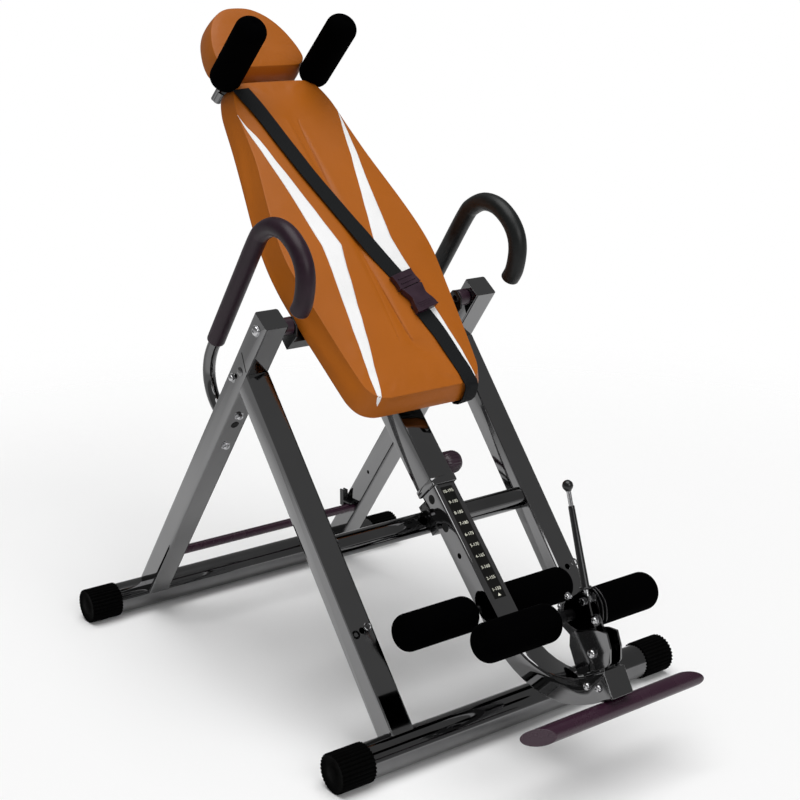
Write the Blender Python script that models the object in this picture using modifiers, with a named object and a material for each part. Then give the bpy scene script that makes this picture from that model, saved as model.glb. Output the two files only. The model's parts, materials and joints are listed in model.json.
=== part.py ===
"""Inversion table: A-frame base, reclining bed, telescoping foot tube and ankle clamp.

Frame: +Z up, floor at Z = 0, X across the machine, head end towards +Y,
foot end towards -Y.  While it is built the bed turns about an X axis through
(0, 0, PIVOT_H); the last step moves everything back by ORIGIN_Y.
All lengths are in metres.
"""
import math

import bmesh
import bpy
from mathutils import Matrix, Vector

# ---------------------------------------------------------------- dimensions
PIVOT_H = 0.7132            # height of the bed's turning axis
GAP = 0.0003                # clearance between neighbouring solids

LEG_X = 0.2492              # leg centre to the middle of the machine
LEG_W = 0.050               # leg tube width along X
LEG_D = 0.047               # leg tube depth
LEG_WALL = 0.0025
REAR_LEAN = 36.29           # degrees from vertical
FRONT_LEAN = 38.98
LEG_TOP = 0.0257            # rear leg above the pivot
JOIN = 0.0968               # pivot down to the front leg's upper face

REAR_Y = 0.4965             # floor tube centres
FRONT_Y = -0.4040
REAR_HALF = 0.4072          # half lengths over the rubber feet
FRONT_HALF = 0.3979
CAP_R = 0.0361
CAP_L = 0.0693
FLOOR_R = 0.0323
FLOOR_WALL = 0.0022
CAP_RIBS = 30

CROSS_R = 0.0215            # brace between the front legs
CROSS_Y, CROSS_Z = -0.1665, 0.3310
LIMIT_R = 0.0095            # low bar between the rear legs
LIMIT_S = -0.690

HANDLE_R = 0.0125
GRIP_R = 0.0181
HANDLE_X = 0.2480

BED_LEAN = 43.44            # bed from vertical
OUTER_W, OUTER_D = 0.0546, 0.0560
OUTER_WALL = 0.0022
OUTER_N = -0.0453           # front face of the outer tube, measured from the pivot
OUTER_TOP, OUTER_END = 0.480, -0.3496
INNER_W, INNER_D = 0.0495, 0.0484
INNER_WALL = 0.0025
INNER_N = OUTER_N - OUTER_D / 2     # centre line of both tubes
INNER_TOP = -0.170
BEND_S = -0.635             # start of the foot bend
BEND_R = 0.200
BEND_DEG = 77.0
BEND_TAIL = 0.052

PAD_N0, PAD_N1 = -0.0080, 0.0385
HEAD_N0, HEAD_N1 = -0.0170, 0.0330

ROLLER_R = 0.0345
ROLLER_IN, ROLLER_OUT = 0.0310, 0.2030
AXLE_R = 0.0060
REAR_AXLE_S = -0.5940
REAR_AXLE_N = INNER_N - INNER_D / 2 - AXLE_R - GAP
FRONT_AXLE = (-0.5510, 0.2705)      # (Y, Z)
CLAMP_PIVOT = (-0.6285, 0.2320)
LEVER_PIVOT = (-0.5990, 0.3160)
LEVER_FOOT = (-0.5940, 0.3330)
LEVER_TOP = (-0.5420, 0.5070)
FOOT_BAR_R = 0.0158
FOOT_BAR_HALF = 0.2030
FOOT_BAR_CUT = 0.0540         # length of the slanted ends

SHOULDER_X, SHOULDER_S, SHOULDER_N = 0.107, 0.5580, -0.0320
SHOULDER_ROLLER_N = (0.0120, 0.1930)
SHOULDER_R = 0.0325

ORIGIN_Y = 0.0784           # moves the finished table to the middle of its footprint

# ---------------------------------------------------------------- materials
COLOURS = {
    "leg_metal": (0.105, 0.105, 0.108, 1.0, 0.34),
    "black_chrome": (0.045, 0.045, 0.047, 1.0, 0.16),
    "bed_metal": (0.075, 0.078, 0.080, 0.9, 0.38),
    "black_metal": (0.012, 0.012, 0.013, 0.6, 0.40),
    "bright_metal": (0.75, 0.75, 0.76, 1.0, 0.14),
    "rubber": (0.006, 0.006, 0.006, 0.0, 0.75),
    "foam": (0.004, 0.004, 0.004, 0.0, 0.90),
    "grip": (0.014, 0.009, 0.012, 0.0, 0.55),
    "purple": (0.030, 0.010, 0.018, 0.0, 0.42),
    "vinyl": (0.420, 0.130, 0.020, 0.0, 0.48),
    "board": (0.010, 0.010, 0.010, 0.0, 0.70),
    "webbing": (0.012, 0.013, 0.014, 0.0, 0.85),
    "plastic": (0.010, 0.010, 0.011, 0.0, 0.45),
}

for old in list(bpy.data.objects):
    bpy.data.objects.remove(old, do_unlink=True)

scene = bpy.context.scene
TABLE = bpy.data.collections.new("inversion_table")
CUTTERS = bpy.data.collections.new("cutters")
scene.collection.children.link(TABLE)
scene.collection.children.link(CUTTERS)


def material(key):
    name = "m_" + key
    if name in bpy.data.materials:
        return bpy.data.materials[name]
    r, g, b, metal, rough = COLOURS[key]
    m = bpy.data.materials.new(name)
    m.use_nodes = True
    m.diffuse_color = (r, g, b, 1.0)
    bsdf = m.node_tree.nodes["Principled BSDF"]
    bsdf.inputs["Base Color"].default_value = (r, g, b, 1.0)
    bsdf.inputs["Metallic"].default_value = metal
    bsdf.inputs["Roughness"].default_value = rough
    return m


# ------------------------------------------------------------ local frames
def tilt(degrees, y, z):
    """Local X = X, local Y = the direction `degrees` above +Y, local Z = its normal."""
    return Matrix.Translation((0, y, z)) @ Matrix.Rotation(math.radians(degrees), 4, "X")


WORLD = Matrix.Identity(4)
BED = tilt(90 - BED_LEAN, 0, PIVOT_H)           # (x, along, front normal)
REAR = tilt(90 + REAR_LEAN, 0, PIVOT_H)         # (x, up the leg, towards the front)
_join = REAR @ Vector((0, -JOIN, LEG_D / 2))
FRONT = tilt(90 - FRONT_LEAN, _join.y, _join.z)  # (x, up the leg, front face = 0)


def yz(frame, s, n):
    p = frame @ Vector((0, s, n))
    return p.y, p.z


# --------------------------------------------------------------- builders
def add(name, mesh, frame=WORLD, mat=None, cutter=False):
    ob = bpy.data.objects.new(name, mesh)
    ob.matrix_world = frame
    (CUTTERS if cutter else TABLE).objects.link(ob)
    if cutter:
        ob.hide_render = True
        ob.display_type = "WIRE"
    else:
        ob.data.materials.append(material(mat))
    return ob


def from_bmesh(name, bm):
    bmesh.ops.remove_doubles(bm, verts=bm.verts, dist=1e-6)
    bmesh.ops.recalc_face_normals(bm, faces=bm.faces)
    mesh = bpy.data.meshes.new(name)
    bm.to_mesh(mesh)
    bm.free()
    return mesh


def box_mesh(name, lo, hi):
    bm = bmesh.new()
    bmesh.ops.create_cube(bm, size=1.0)
    for v in bm.verts:
        v.co = Vector([(lo[i] + hi[i]) / 2 + v.co[i] * (hi[i] - lo[i]) for i in range(3)])
    return from_bmesh(name, bm)


def prism_mesh(name, outline, lo, hi, axis="z", far=None):
    """Closed outline extruded along one local axis; `far` is a different outline for the hi end."""
    order = {"z": lambda a, b, c: (a, b, c), "x": lambda a, b, c: (c, a, b)}[axis]
    bm = bmesh.new()
    rings = [[bm.verts.new(order(a, b, c)) for a, b in ring] for ring, c in ((outline, lo), (far or outline, hi))]
    count = len(outline)
    for i in range(count):
        j = (i + 1) % count
        bm.faces.new((rings[0][i], rings[0][j], rings[1][j], rings[1][i]))
    bm.faces.new(rings[0])
    bm.faces.new(rings[1])
    return from_bmesh(name, bm)


def lathe_mesh(name, profile, centre=(0, 0, 0), axis="x", steps=32):
    """Closed (position, radius) profile turned about a local axis."""
    def place(t, r, a):
        u, v = r * math.cos(a), r * math.sin(a)
        p = {"x": (t, u, v), "y": (u, t, v), "z": (u, v, t)}[axis]
        return [p[i] + centre[i] for i in range(3)]

    bm = bmesh.new()
    rings = []
    for t, r in profile:
        if r < 1e-9:
            rings.append([bm.verts.new(place(t, 0, 0))] * steps)
        else:
            rings.append([bm.verts.new(place(t, r, 2 * math.pi * k / steps)) for k in range(steps)])
    closed = profile[0][1] > 1e-9 or profile[-1][1] > 1e-9
    last = len(rings) if closed else len(rings) - 1
    for i in range(last):
        a, b = rings[i], rings[(i + 1) % len(rings)]
        for k in range(steps):
            m = (k + 1) % steps
            corner = []
            for v in (a[k], a[m], b[m], b[k]):
                if v not in corner:
                    corner.append(v)
            if len(corner) > 2:
                bm.faces.new(corner)
    return from_bmesh(name, bm)


def sweep_mesh(name, path, section, inner=None, shut_end=False, x=0.0):
    """Section (across X, across the path) swept along a path of (Y, Z) points.

    With `inner` the result is a tube, open at the start, and at the end unless shut_end.
    """
    def frames(points):
        out = []
        for i, p in enumerate(points):
            a = points[max(i - 1, 0)]
            b = points[min(i + 1, len(points) - 1)]
            if 0 < i < len(points) - 1:
                t1 = Vector((p[0] - a[0], p[1] - a[1])).normalized()
                t2 = Vector((b[0] - p[0], b[1] - p[1])).normalized()
                t = (t1 + t2).normalized()
                stretch = 1.0 / max(t.dot(t1), 0.2)
            else:
                t = Vector((b[0] - a[0], b[1] - a[1])).normalized()
                stretch = 1.0
            out.append((p, Vector((-t.y, t.x)), stretch))
        return out

    def rings(bm, points, shape):
        made = []
        for p, n, k in frames(points):
            made.append([bm.verts.new((x + u, p[0] + n.x * v * k, p[1] + n.y * v * k)) for u, v in shape])
        return made

    def skin(bm, made):
        for a, b in zip(made, made[1:]):
            for i in range(len(a)):
                j = (i + 1) % len(a)
                bm.faces.new((a[i], a[j], b[j], b[i]))

    bm = bmesh.new()
    out = rings(bm, path, section)
    skin(bm, out)
    if inner is None:
        bm.faces.new(out[0])
        bm.faces.new(out[-1])
    else:
        path_in = list(path)
        if shut_end:
            wall = LEG_WALL
            a, b = Vector(path[-2]), Vector(path[-1])
            path_in[-1] = tuple(b - (b - a).normalized() * wall)
        ins = rings(bm, path_in, inner)
        skin(bm, ins)
        for end in ((0,) if shut_end else (0, -1)):
            a, b = out[end], ins[end]
            for i in range(len(a)):
                j = (i + 1) % len(a)
                bm.faces.new((a[i], a[j], b[j], b[i]))
        if shut_end:
            bm.faces.new(out[-1])
            bm.faces.new(ins[-1])
    return from_bmesh(name, bm)


def rect_section(w, d, r=0.0, steps=2):
    if r <= 0:
        return [(-w / 2, -d / 2), (w / 2, -d / 2), (w / 2, d / 2), (-w / 2, d / 2)]
    pts = []
    for cx, cy, a0 in ((w / 2 - r, d / 2 - r, 0), (-w / 2 + r, d / 2 - r, 90),
                       (-w / 2 + r, -d / 2 + r, 180), (w / 2 - r, -d / 2 + r, 270)):
        for k in range(steps + 1):
            a = math.radians(a0 + 90 * k / steps)
            pts.append((cx + r * math.cos(a), cy + r * math.sin(a)))
    return pts


def round_section(r, steps=20):
    return [(r * math.cos(2 * math.pi * k / steps), r * math.sin(2 * math.pi * k / steps)) for k in range(steps)]


def smooth_path(points, per=6):
    """Catmull-Rom curve through (Y, Z) points."""
    out = []
    for i in range(len(points) - 1):
        p0 = Vector(points[max(i - 1, 0)])
        p1, p2 = Vector(points[i]), Vector(points[i + 1])
        p3 = Vector(points[min(i + 2, len(points) - 1)])
        for k in range(per):
            t = k / per
            q = 0.5 * ((2 * p1) + (p2 - p0) * t + (2 * p0 - 5 * p1 + 4 * p2 - p3) * t * t
                       + (3 * p1 - p0 - 3 * p2 + p3) * t ** 3)
            out.append((q.x, q.y))
    out.append(tuple(points[-1]))
    return out


def modify(ob, kind, name, **values):
    mod = ob.modifiers.new(name, kind)
    for key, value in values.items():
        setattr(mod, key, value)
    return mod


def boolean(ob, other, how="DIFFERENCE"):
    modify(ob, "BOOLEAN", how.title(), operation=how, solver="EXACT", object=other)


def bevel(ob, width, segments=2, angle=40):
    modify(ob, "BEVEL", "Bevel", width=width, segments=segments, limit_method="ANGLE",
           angle_limit=math.radians(angle))


def cut_box(ob, lo, hi, frame=WORLD):
    boolean(ob, add(ob.name + "_cut", box_mesh("cut", lo, hi), frame, cutter=True))


def cut_rod(ob, r, centre, lo, hi, axis="x", frame=WORLD, steps=20):
    mesh = lathe_mesh("cut", [(lo, 0), (lo, r), (hi, r), (hi, 0)], centre, axis, steps)
    boolean(ob, add(ob.name + "_cut", mesh, frame, cutter=True))


def join_mesh(ob, mesh, frame=WORLD):
    boolean(ob, add(ob.name + "_part", mesh, frame, cutter=True), "UNION")


SIDES = (("left", -1), ("right", 1))

# ------------------------------------------------------------- rear legs
foot_s = -(PIVOT_H - CAP_R) / math.cos(math.radians(REAR_LEAN)) - 0.004
for side, k in SIDES:
    section = rect_section(LEG_W, LEG_D, 0.004)
    inside = rect_section(LEG_W - 2 * LEG_WALL, LEG_D - 2 * LEG_WALL, 0.002)
    leg = add("rear_leg_" + side,
              sweep_mesh("rear_leg", [yz(REAR, foot_s, 0), yz(REAR, LEG_TOP, 0)], section, inside, True, k * LEG_X),
              mat="leg_metal")
    cut_rod(leg, FLOOR_R + GAP, (0, REAR_Y, CAP_R), -0.5, 0.5, steps=48)
    wall = k * (LEG_X - LEG_W / 2)
    # pivot hole right through, joint bolt hole and a plain hole in the inner wall
    cut_rod(leg, 0.0062, (0, 0, 0), k * 0.20, k * 0.30, frame=REAR)
    cut_rod(leg, 0.0045, (0, -0.1250, -0.001), k * 0.262, k * 0.30, frame=REAR)
    cut_rod(leg, 0.0042, (0, -0.5728, 0), wall - k * 0.01, wall + k * 0.01, frame=REAR)
    # handle bolts run front to back; one open slot below the upper one
    for s in (-0.2208, -0.3121):
        cut_rod(leg, 0.0045, (k * HANDLE_X, s, 0), -0.04, 0.04, axis="z", frame=REAR)
    cut_rod(leg, 0.0060, (k * HANDLE_X, -0.2481, 0), 0.010, 0.040, axis="z", frame=REAR)
    # low bar passes through the inner wall
    cut_rod(leg, LIMIT_R + GAP, (0, LIMIT_S, 0.010), wall - k * 0.02, wall + k * 0.008, frame=REAR)

    bolt = [(0.2130, 0), (0.2130, 0.0058), (0.27445, 0.0058), (0.27445, 0.0095), (0.2765, 0.0093),
            (0.2790, 0.0070), (0.2803, 0.0035), (0.2807, 0)]
    add("pivot_bolt_" + side, lathe_mesh("pivot_bolt", [(k * t, r) for t, r in bolt], steps=24), REAR, "bright_metal")
    joint = [(0.2650, 0), (0.2650, 0.0041), (0.27445, 0.0041), (0.27445, 0.0078), (0.2766, 0.0072),
             (0.2786, 0.0045), (0.2792, 0)]
    add("joint_bolt_" + side, lathe_mesh("joint_bolt", [(k * t, r) for t, r in joint], (0, -0.1250, -0.001), steps=20),
        REAR, "bright_metal")

# ------------------------------------------------------------ front legs
lean = math.radians(FRONT_LEAN)
front_len = (FRONT.translation.z - LEG_D / 2 * math.sin(lean) - CAP_R) / math.cos(lean) + 0.004
for side, k in SIDES:
    path = [yz(FRONT, 0.060, -LEG_D / 2), yz(FRONT, -front_len, -LEG_D / 2)]
    leg = add("front_leg_" + side,
              sweep_mesh("front_leg", path, rect_section(LEG_W, LEG_D, 0.004),
                         rect_section(LEG_W - 2 * LEG_WALL, LEG_D - 2 * LEG_WALL, 0.002), False, k * LEG_X),
              mat="leg_metal")
    cut_rod(leg, FLOOR_R + GAP, (0, FRONT_Y, CAP_R), -0.5, 0.5, steps=48)
    cut_box(leg, (-0.4, -0.6, -0.12), (0.4, 0.5, LEG_D / 2 + GAP), REAR)
    wall = k * (LEG_X - LEG_W / 2)
    cut_rod(leg, 0.0060, (k * LEG_X, -0.5197, 0), -0.010, 0.010, axis="z", frame=FRONT)

# ----------------------------------------------------- floor tubes and feet
for end, y, half in (("rear", REAR_Y, REAR_HALF), ("front", FRONT_Y, FRONT_HALF)):
    t = half - 0.006
    ri = FLOOR_R - FLOOR_WALL
    add(end + "_floor_tube", lathe_mesh("floor_tube", [(-t, FLOOR_R), (t, FLOOR_R), (t, ri), (-t, ri)],
                                        (0, y, CAP_R), steps=48), mat="black_chrome")
    for side, k in SIDES:
        ring, steps = [], CAP_RIBS * 4
        for i in range(steps):
            a = 2 * math.pi * (i - 0.5) / steps     # a rib's flat faces the floor
            r = CAP_R if i % 4 in (0, 1) else CAP_R - 0.0013
            r = r / math.cos(math.pi / steps)
            ring.append((y + r * math.sin(a), CAP_R - r * math.cos(a)))
        lo, hi = sorted((k * (half - CAP_L), k * half))
        cap = add("floor_cap_%s_%s" % (end, side), prism_mesh("floor_cap", ring, lo, hi, axis="x"), mat="rubber")
        a, b = sorted((k * (half - CAP_L - 0.01), k * (half - 0.005)))
        cut_rod(cap, FLOOR_R + GAP, (0, y, CAP_R), a, b, steps=48)

# ------------------------------------------------- brace, stop and low bar
inner = LEG_X - LEG_W / 2 - GAP
add("front_cross_tube", lathe_mesh("cross", [(-inner, CROSS_R), (inner, CROSS_R), (inner, CROSS_R - 0.002),
                                             (-inner, CROSS_R - 0.002)], (0, CROSS_Y, CROSS_Z), steps=36),
    mat="black_chrome")
cross = BED.inverted() @ Vector((0, CROSS_Y, CROSS_Z))
stop_n = INNER_N - INNER_D / 2
bracket = add("stop_bracket", box_mesh("bracket", (-0.013, cross.y - 0.031, cross.z + 0.006),
                                       (0.013, cross.y + 0.031, stop_n - 0.0125)), BED, "black_metal")
cut_rod(bracket, CROSS_R + GAP, (0, CROSS_Y, CROSS_Z), -0.1, 0.1, steps=36)
bevel(bracket, 0.002)
bumper = add("stop_bumper", box_mesh("bumper", (-0.012, cross.y - 0.028, stop_n - 0.0122),
                                     (0.012, cross.y + 0.028, stop_n - 0.0004)), BED, "rubber")
bevel(bumper, 0.003)

reach = LEG_X - LEG_W / 2 + 0.006
add("limit_bar", lathe_mesh("limit", [(-reach, 0), (-reach, LIMIT_R), (reach, LIMIT_R), (reach, 0)],
                            (0, LIMIT_S, 0.010), steps=24), REAR, "purple")
bar_y, bar_z = yz(REAR, LIMIT_S, 0.010)
seat = bar_z + LIMIT_R + GAP
clip = add("limit_bar_clip", box_mesh("clip", (inner - 0.013, bar_y - 0.008, seat), (inner, bar_y + 0.032, seat + 0.004)),
           mat="black_metal")
join_mesh(clip, box_mesh("fork", (inner - 0.013, bar_y + 0.018, seat - 0.010), (inner, bar_y + 0.032, seat + 0.028)))
cut_box(clip, (inner - 0.009, bar_y + 0.010, seat + 0.006), (inner - 0.004, bar_y + 0.040, seat + 0.040))

# ---------------------------------------------------------------- handles
ARCH = [(0.1905, 0.6545), (0.1540, 0.7050), (0.0900, 0.7930), (0.0330, 0.8710), (0.0100, 0.8925), (-0.0260, 0.9060),
        (-0.0660, 0.9015), (-0.1000, 0.8805), (-0.1205, 0.8530), (-0.1260, 0.8220), (-0.1180, 0.7850), (-0.1030, 0.7620)]
HOOK = [(0.2030, 0.6370), (0.2140, 0.6150), (0.2195, 0.5880), (0.2155, 0.5600), (0.2010, 0.5330)]
foot_y, foot_z = yz(REAR, -0.2690, -LEG_D / 2 - 0.003)
for side, k in SIDES:
    tube_path = smooth_path([(foot_y, foot_z)] + HOOK[::-1] + ARCH[:-1], 2)
    tube = add("handle_tube_" + side, sweep_mesh("handle", tube_path, round_section(HANDLE_R, 14), x=k * HANDLE_X),
               mat="black_chrome")
    plate = box_mesh("plate", (k * HANDLE_X - 0.017, -0.3270, -LEG_D / 2 - 0.0048),
                     (k * HANDLE_X + 0.017, -0.2060, -LEG_D / 2 - GAP))
    join_mesh(tube, plate, REAR)
    cut_box(tube, (k * HANDLE_X - 0.05, -0.40, -LEG_D / 2 - GAP), (k * HANDLE_X + 0.05, -0.12, 0.05), REAR)
    for s in (-0.2208, -0.3121):
        cut_rod(tube, 0.0045, (k * HANDLE_X, s, -LEG_D / 2), -0.02, 0.02, axis="z", frame=REAR)
        end = "upper" if s > -0.25 else "lower"
        h = LEG_D / 2
        stud = [(-h - 0.0085, 0), (-h - 0.0085, 0.0070), (-h - 0.0051, 0.0070), (-h - 0.0051, 0.0041), (h + GAP, 0.0041),
                (h + GAP, 0.0085), (h + 0.0030, 0.0080), (h + 0.0065, 0.0052), (h + 0.0078, 0)]
        add("handle_bolt_%s_%s" % (end, side), lathe_mesh("stud", stud, (k * HANDLE_X, s, 0), "z", 16),
            REAR, "bright_metal")
    grip_path = smooth_path(ARCH, 2)
    tip = Vector(grip_path[-1]) + (Vector(grip_path[-1]) - Vector(grip_path[-2])).normalized() * 0.001
    grip = add("handle_grip_" + side, sweep_mesh("grip", grip_path + [tuple(tip)], round_section(GRIP_R, 18),
                                                 x=k * HANDLE_X), mat="grip")
    bore = smooth_path([HOOK[0]] + ARCH[:-1], 2)
    boolean(grip, add("grip_cut", sweep_mesh("cut", bore, round_section(HANDLE_R + 0.0008, 14), x=k * HANDLE_X),
                      cutter=True))

# -------------------------------------------------------------- bed frame
outer = rect_section(OUTER_W, OUTER_D, 0.003)
outer_in = rect_section(OUTER_W - 2 * OUTER_WALL, OUTER_D - 2 * OUTER_WALL, 0.0015)
tube = add("bed_tube", sweep_mesh("bed_tube", [yz(BED, OUTER_TOP, INNER_N), yz(BED, OUTER_END, INNER_N)],
                                  outer, outer_in), mat="bed_metal")
PIN_S = -0.3140
cut_rod(tube, 0.0052, (0, PIN_S, INNER_N), 0.010, 0.040, frame=BED)

collar = add("tube_collar", box_mesh("collar", (-OUTER_W / 2 - 0.0016, OUTER_END - 0.0080, INNER_N - OUTER_D / 2 - 0.0016),
                                     (OUTER_W / 2 + 0.0016, OUTER_END + 0.0070, INNER_N + OUTER_D / 2 + 0.0016)),
             BED, "plastic")
bevel(collar, 0.002)
cut_box(collar, (-INNER_W / 2 - 0.0005, OUTER_END - 0.03, INNER_N - INNER_D / 2 - 0.0005),
        (INNER_W / 2 + 0.0005, OUTER_END + 0.03, INNER_N + INNER_D / 2 + 0.0005), BED)
cut_box(collar, (-OUTER_W / 2 - GAP, OUTER_END - GAP, INNER_N - OUTER_D / 2 - GAP),
        (OUTER_W / 2 + GAP, OUTER_END + 0.03, INNER_N + OUTER_D / 2 + GAP), BED)

beam_n0, beam_n1 = OUTER_N + GAP, -0.0183
beam = add("pivot_crossbar", box_mesh("beam", (-0.1955, -0.0260, beam_n0), (0.1955, 0.0060, beam_n1)), BED, "black_metal")
for side, k in SIDES:
    lo, hi = sorted((k * 0.1950, k * 0.1990))
    cheek = prism_mesh("cheek", [(-0.0260, beam_n0), (0.0060, beam_n0), (0.0170, -0.012), (0.0170, 0.004), (0.0100, 0.0150),
                                 (-0.0100, 0.0150), (-0.0260, 0.0000)], lo, hi, axis="x")
    join_mesh(beam, cheek, BED)
    cut_rod(beam, 0.0062, (0, 0, 0), k * 0.18, k * 0.21, frame=BED)
    hub = [(0.1993, 0.0062), (0.2012, 0.0163), (0.2218, 0.0163), (0.2236, 0.0150), (0.2236, 0.0062)]
    hub = [(0.1993, 0.0062), (0.1993, 0.0150), (0.2010, 0.0165), (0.2220, 0.0165), (0.2237, 0.0150), (0.2237, 0.0062)]
    add("pivot_hub_" + side, lathe_mesh("hub", [(k * t, r) for t, r in hub], steps=28), BED, "purple")


def mirrored(half):
    """Right half outline, top to bottom, closed over the middle."""
    return half + [(-x, s) for x, s in reversed(half)]


PAD_HALF = [(0.070, 0.5560), (0.096, 0.5480), (0.112, 0.5300), (0.122, 0.5050), (0.129, 0.4800), (0.140, 0.4100),
            (0.151, 0.3500), (0.165, 0.2850), (0.177, 0.2250), (0.186, 0.1700), (0.1900, 0.1250), (0.1905, 0.0900),
            (0.1885, 0.0500), (0.1800, -0.0200), (0.1700, -0.0900), (0.1610, -0.1550), (0.1550, -0.1840),
            (0.1400, -0.2060), (0.118, -0.2150), (0.095, -0.2170)]


def grown(outline, d):
    """Outline moved outwards by d."""
    out = []
    count = len(outline)
    for i in range(count):
        a, b, c = (Vector(outline[(i + j) % count]) for j in (-1, 0, 1))
        t1, t2 = (b - a).normalized(), (c - b).normalized()
        t = (t1 + t2).normalized()
        k = 1.0 / max(t.dot(t1), 0.5)
        out.append((b.x + (-t.y) * d * k, b.y + t.x * d * k))
    return out


pad_outline = mirrored(PAD_HALF)
board = add("backrest_board", prism_mesh("board", grown(pad_outline, -0.016), -0.0180, PAD_N0 - GAP), BED, "board")
bevel(board, 0.001, 1)
pad = add("backrest_pad", prism_mesh("pad", pad_outline, PAD_N0, PAD_N1, far=grown(pad_outline, -0.014)), BED, "vinyl")
bevel(pad, 0.010, 3)

HEAD_HALF = [(0.020, 0.7450), (0.047, 0.7350), (0.072, 0.7140), (0.092, 0.6820), (0.1040, 0.6460), (0.1085, 0.6170),
             (0.1060, 0.5970), (0.0930, 0.5830), (0.0730, 0.5780)]
head_outline = mirrored(HEAD_HALF)
head = add("headrest_pad", prism_mesh("head", head_outline, HEAD_N0, HEAD_N1, far=grown(head_outline, -0.006)),
           BED, "vinyl")
bevel(head, 0.012, 3)
rail = add("headrest_bracket", box_mesh("rail", (-0.0200, 0.3950, OUTER_N + GAP), (0.0200, 0.6800, OUTER_N + 0.0055)),
           BED, "black_metal")
join_mesh(rail, box_mesh("plate", (-0.0550, 0.5900, OUTER_N + 0.0045), (0.0550, 0.6900, HEAD_N0 - GAP)), BED)
cut_rod(rail, 0.0098, (0, SHOULDER_S, SHOULDER_N), -0.1, 0.1, frame=BED)

# ----------------------------------------------------- shoulder frame
yoke = add("shoulder_frame", lathe_mesh("yoke", [(-0.0985, 0), (-0.0985, 0.0095), (0.0985, 0.0095), (0.0985, 0)],
                                        (0, SHOULDER_S, SHOULDER_N), steps=24), BED, "bed_metal")
for side, k in SIDES:
    arm = lathe_mesh("arm", [(SHOULDER_N, 0), (SHOULDER_N, 0.0060), (0.174, 0.0060), (0.174, 0)],
                     (k * SHOULDER_X, SHOULDER_S, 0), "z", 16)
    join_mesh(yoke, arm, BED)
    boss = lathe_mesh("boss", [(-0.0340, 0), (-0.0340, 0.0100), (-0.0310, 0.0118), (-0.0040, 0.0118), (-0.0040, 0)],
                      (k * (SHOULDER_X - 0.0075), SHOULDER_S - 0.0020, 0), "z", 24)
    join_mesh(yoke, boss, BED)
    lo, hi = SHOULDER_ROLLER_N
    c = 0.016
    foam = [(lo, 0.0066), (lo, SHOULDER_R - c)]
    foam += [(lo + c - c * math.cos(a), SHOULDER_R - c + c * math.sin(a)) for a in (0.5, 1.0, 1.5707963)]
    foam += [(hi - c + c * math.cos(a), SHOULDER_R - c + c * math.sin(a)) for a in (1.5707963, 1.0, 0.5, 0.0)]
    foam += [(hi, 0), (0.1755, 0), (0.1755, 0.0066)]
    centre = (k * SHOULDER_X, SHOULDER_S + 0.0, 0)
    roller = add("shoulder_roller_" + side, lathe_mesh("foam", foam, centre, "z", 24), BED, "foam")
    # the foam is notched where it rests over the pad's top edge
    cut = prism_mesh("cut", grown(pad_outline, 0.0010), PAD_N0 - 0.01, PAD_N1 + 0.0008)
    boolean(roller, add("foam_cut", cut, BED, cutter=True))
    cut = prism_mesh("cut", grown(head_outline, 0.0010), HEAD_N0 - 0.01, HEAD_N1 + 0.0010)
    boolean(roller, add("foam_cut", cut, BED, cutter=True))

# ------------------------------------------------------------------ belt
strap_n = PAD_N1 + 0.0006
STRAP_T = 0.0020


def strap(name, left, right, lift=0.0):
    outline = left + right[::-1]
    return add(name, prism_mesh(name, outline, strap_n + lift, strap_n + lift + STRAP_T), BED, "webbing")


strap("belt_upper", [(-0.0900, 0.5080), (-0.0590, 0.3240), (-0.0110, 0.1990), (0.0420, 0.0700)],
      [(-0.0600, 0.5300), (-0.0290, 0.3800), (0.0150, 0.2270), (0.0700, 0.0880)])
strap("belt_lower", [(0.0670, -0.0450), (0.0830, -0.1850)], [(0.0990, -0.0380), (0.1160, -0.1800)])
BUCKLE = BED @ Matrix.Translation((0.0700, 0.0100, strap_n)) @ Matrix.Rotation(math.radians(18.0), 4, "Z")
body = add("buckle_body", box_mesh("buckle", (-0.0240, -0.0450, 0.0003), (0.0240, 0.0080, 0.0135)), BUCKLE, "purple")
bevel(body, 0.003)
tongue = add("buckle_tongue", box_mesh("tongue", (-0.0220, 0.0085, 0.0003), (0.0220, 0.0480, 0.0110)), BUCKLE, "purple")
bevel(tongue, 0.003)

# ------------------------------------------------------------- height pin
add("height_pin", lathe_mesh("pin", [(INNER_W / 2 + 0.0004, 0), (INNER_W / 2 + 0.0004, 0.0048), (0.0330, 0.0048),
                                     (0.0330, 0.0042), (0.0440, 0.0042), (0.0440, 0)], (0, PIN_S, INNER_N), steps=16),
    BED, "bright_metal")
knob = [(0.0300, 0.0051), (0.0300, 0.0140), (0.0350, 0.0195), (0.0430, 0.0222), (0.0570, 0.0222), (0.0670, 0.0194),
        (0.0735, 0.0135), (0.0762, 0.0060), (0.0765, 0), (0.0446, 0), (0.0446, 0.0051)]
add("height_knob", lathe_mesh("knob", knob, (0, PIN_S, INNER_N), steps=28), BED, "purple")

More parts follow.
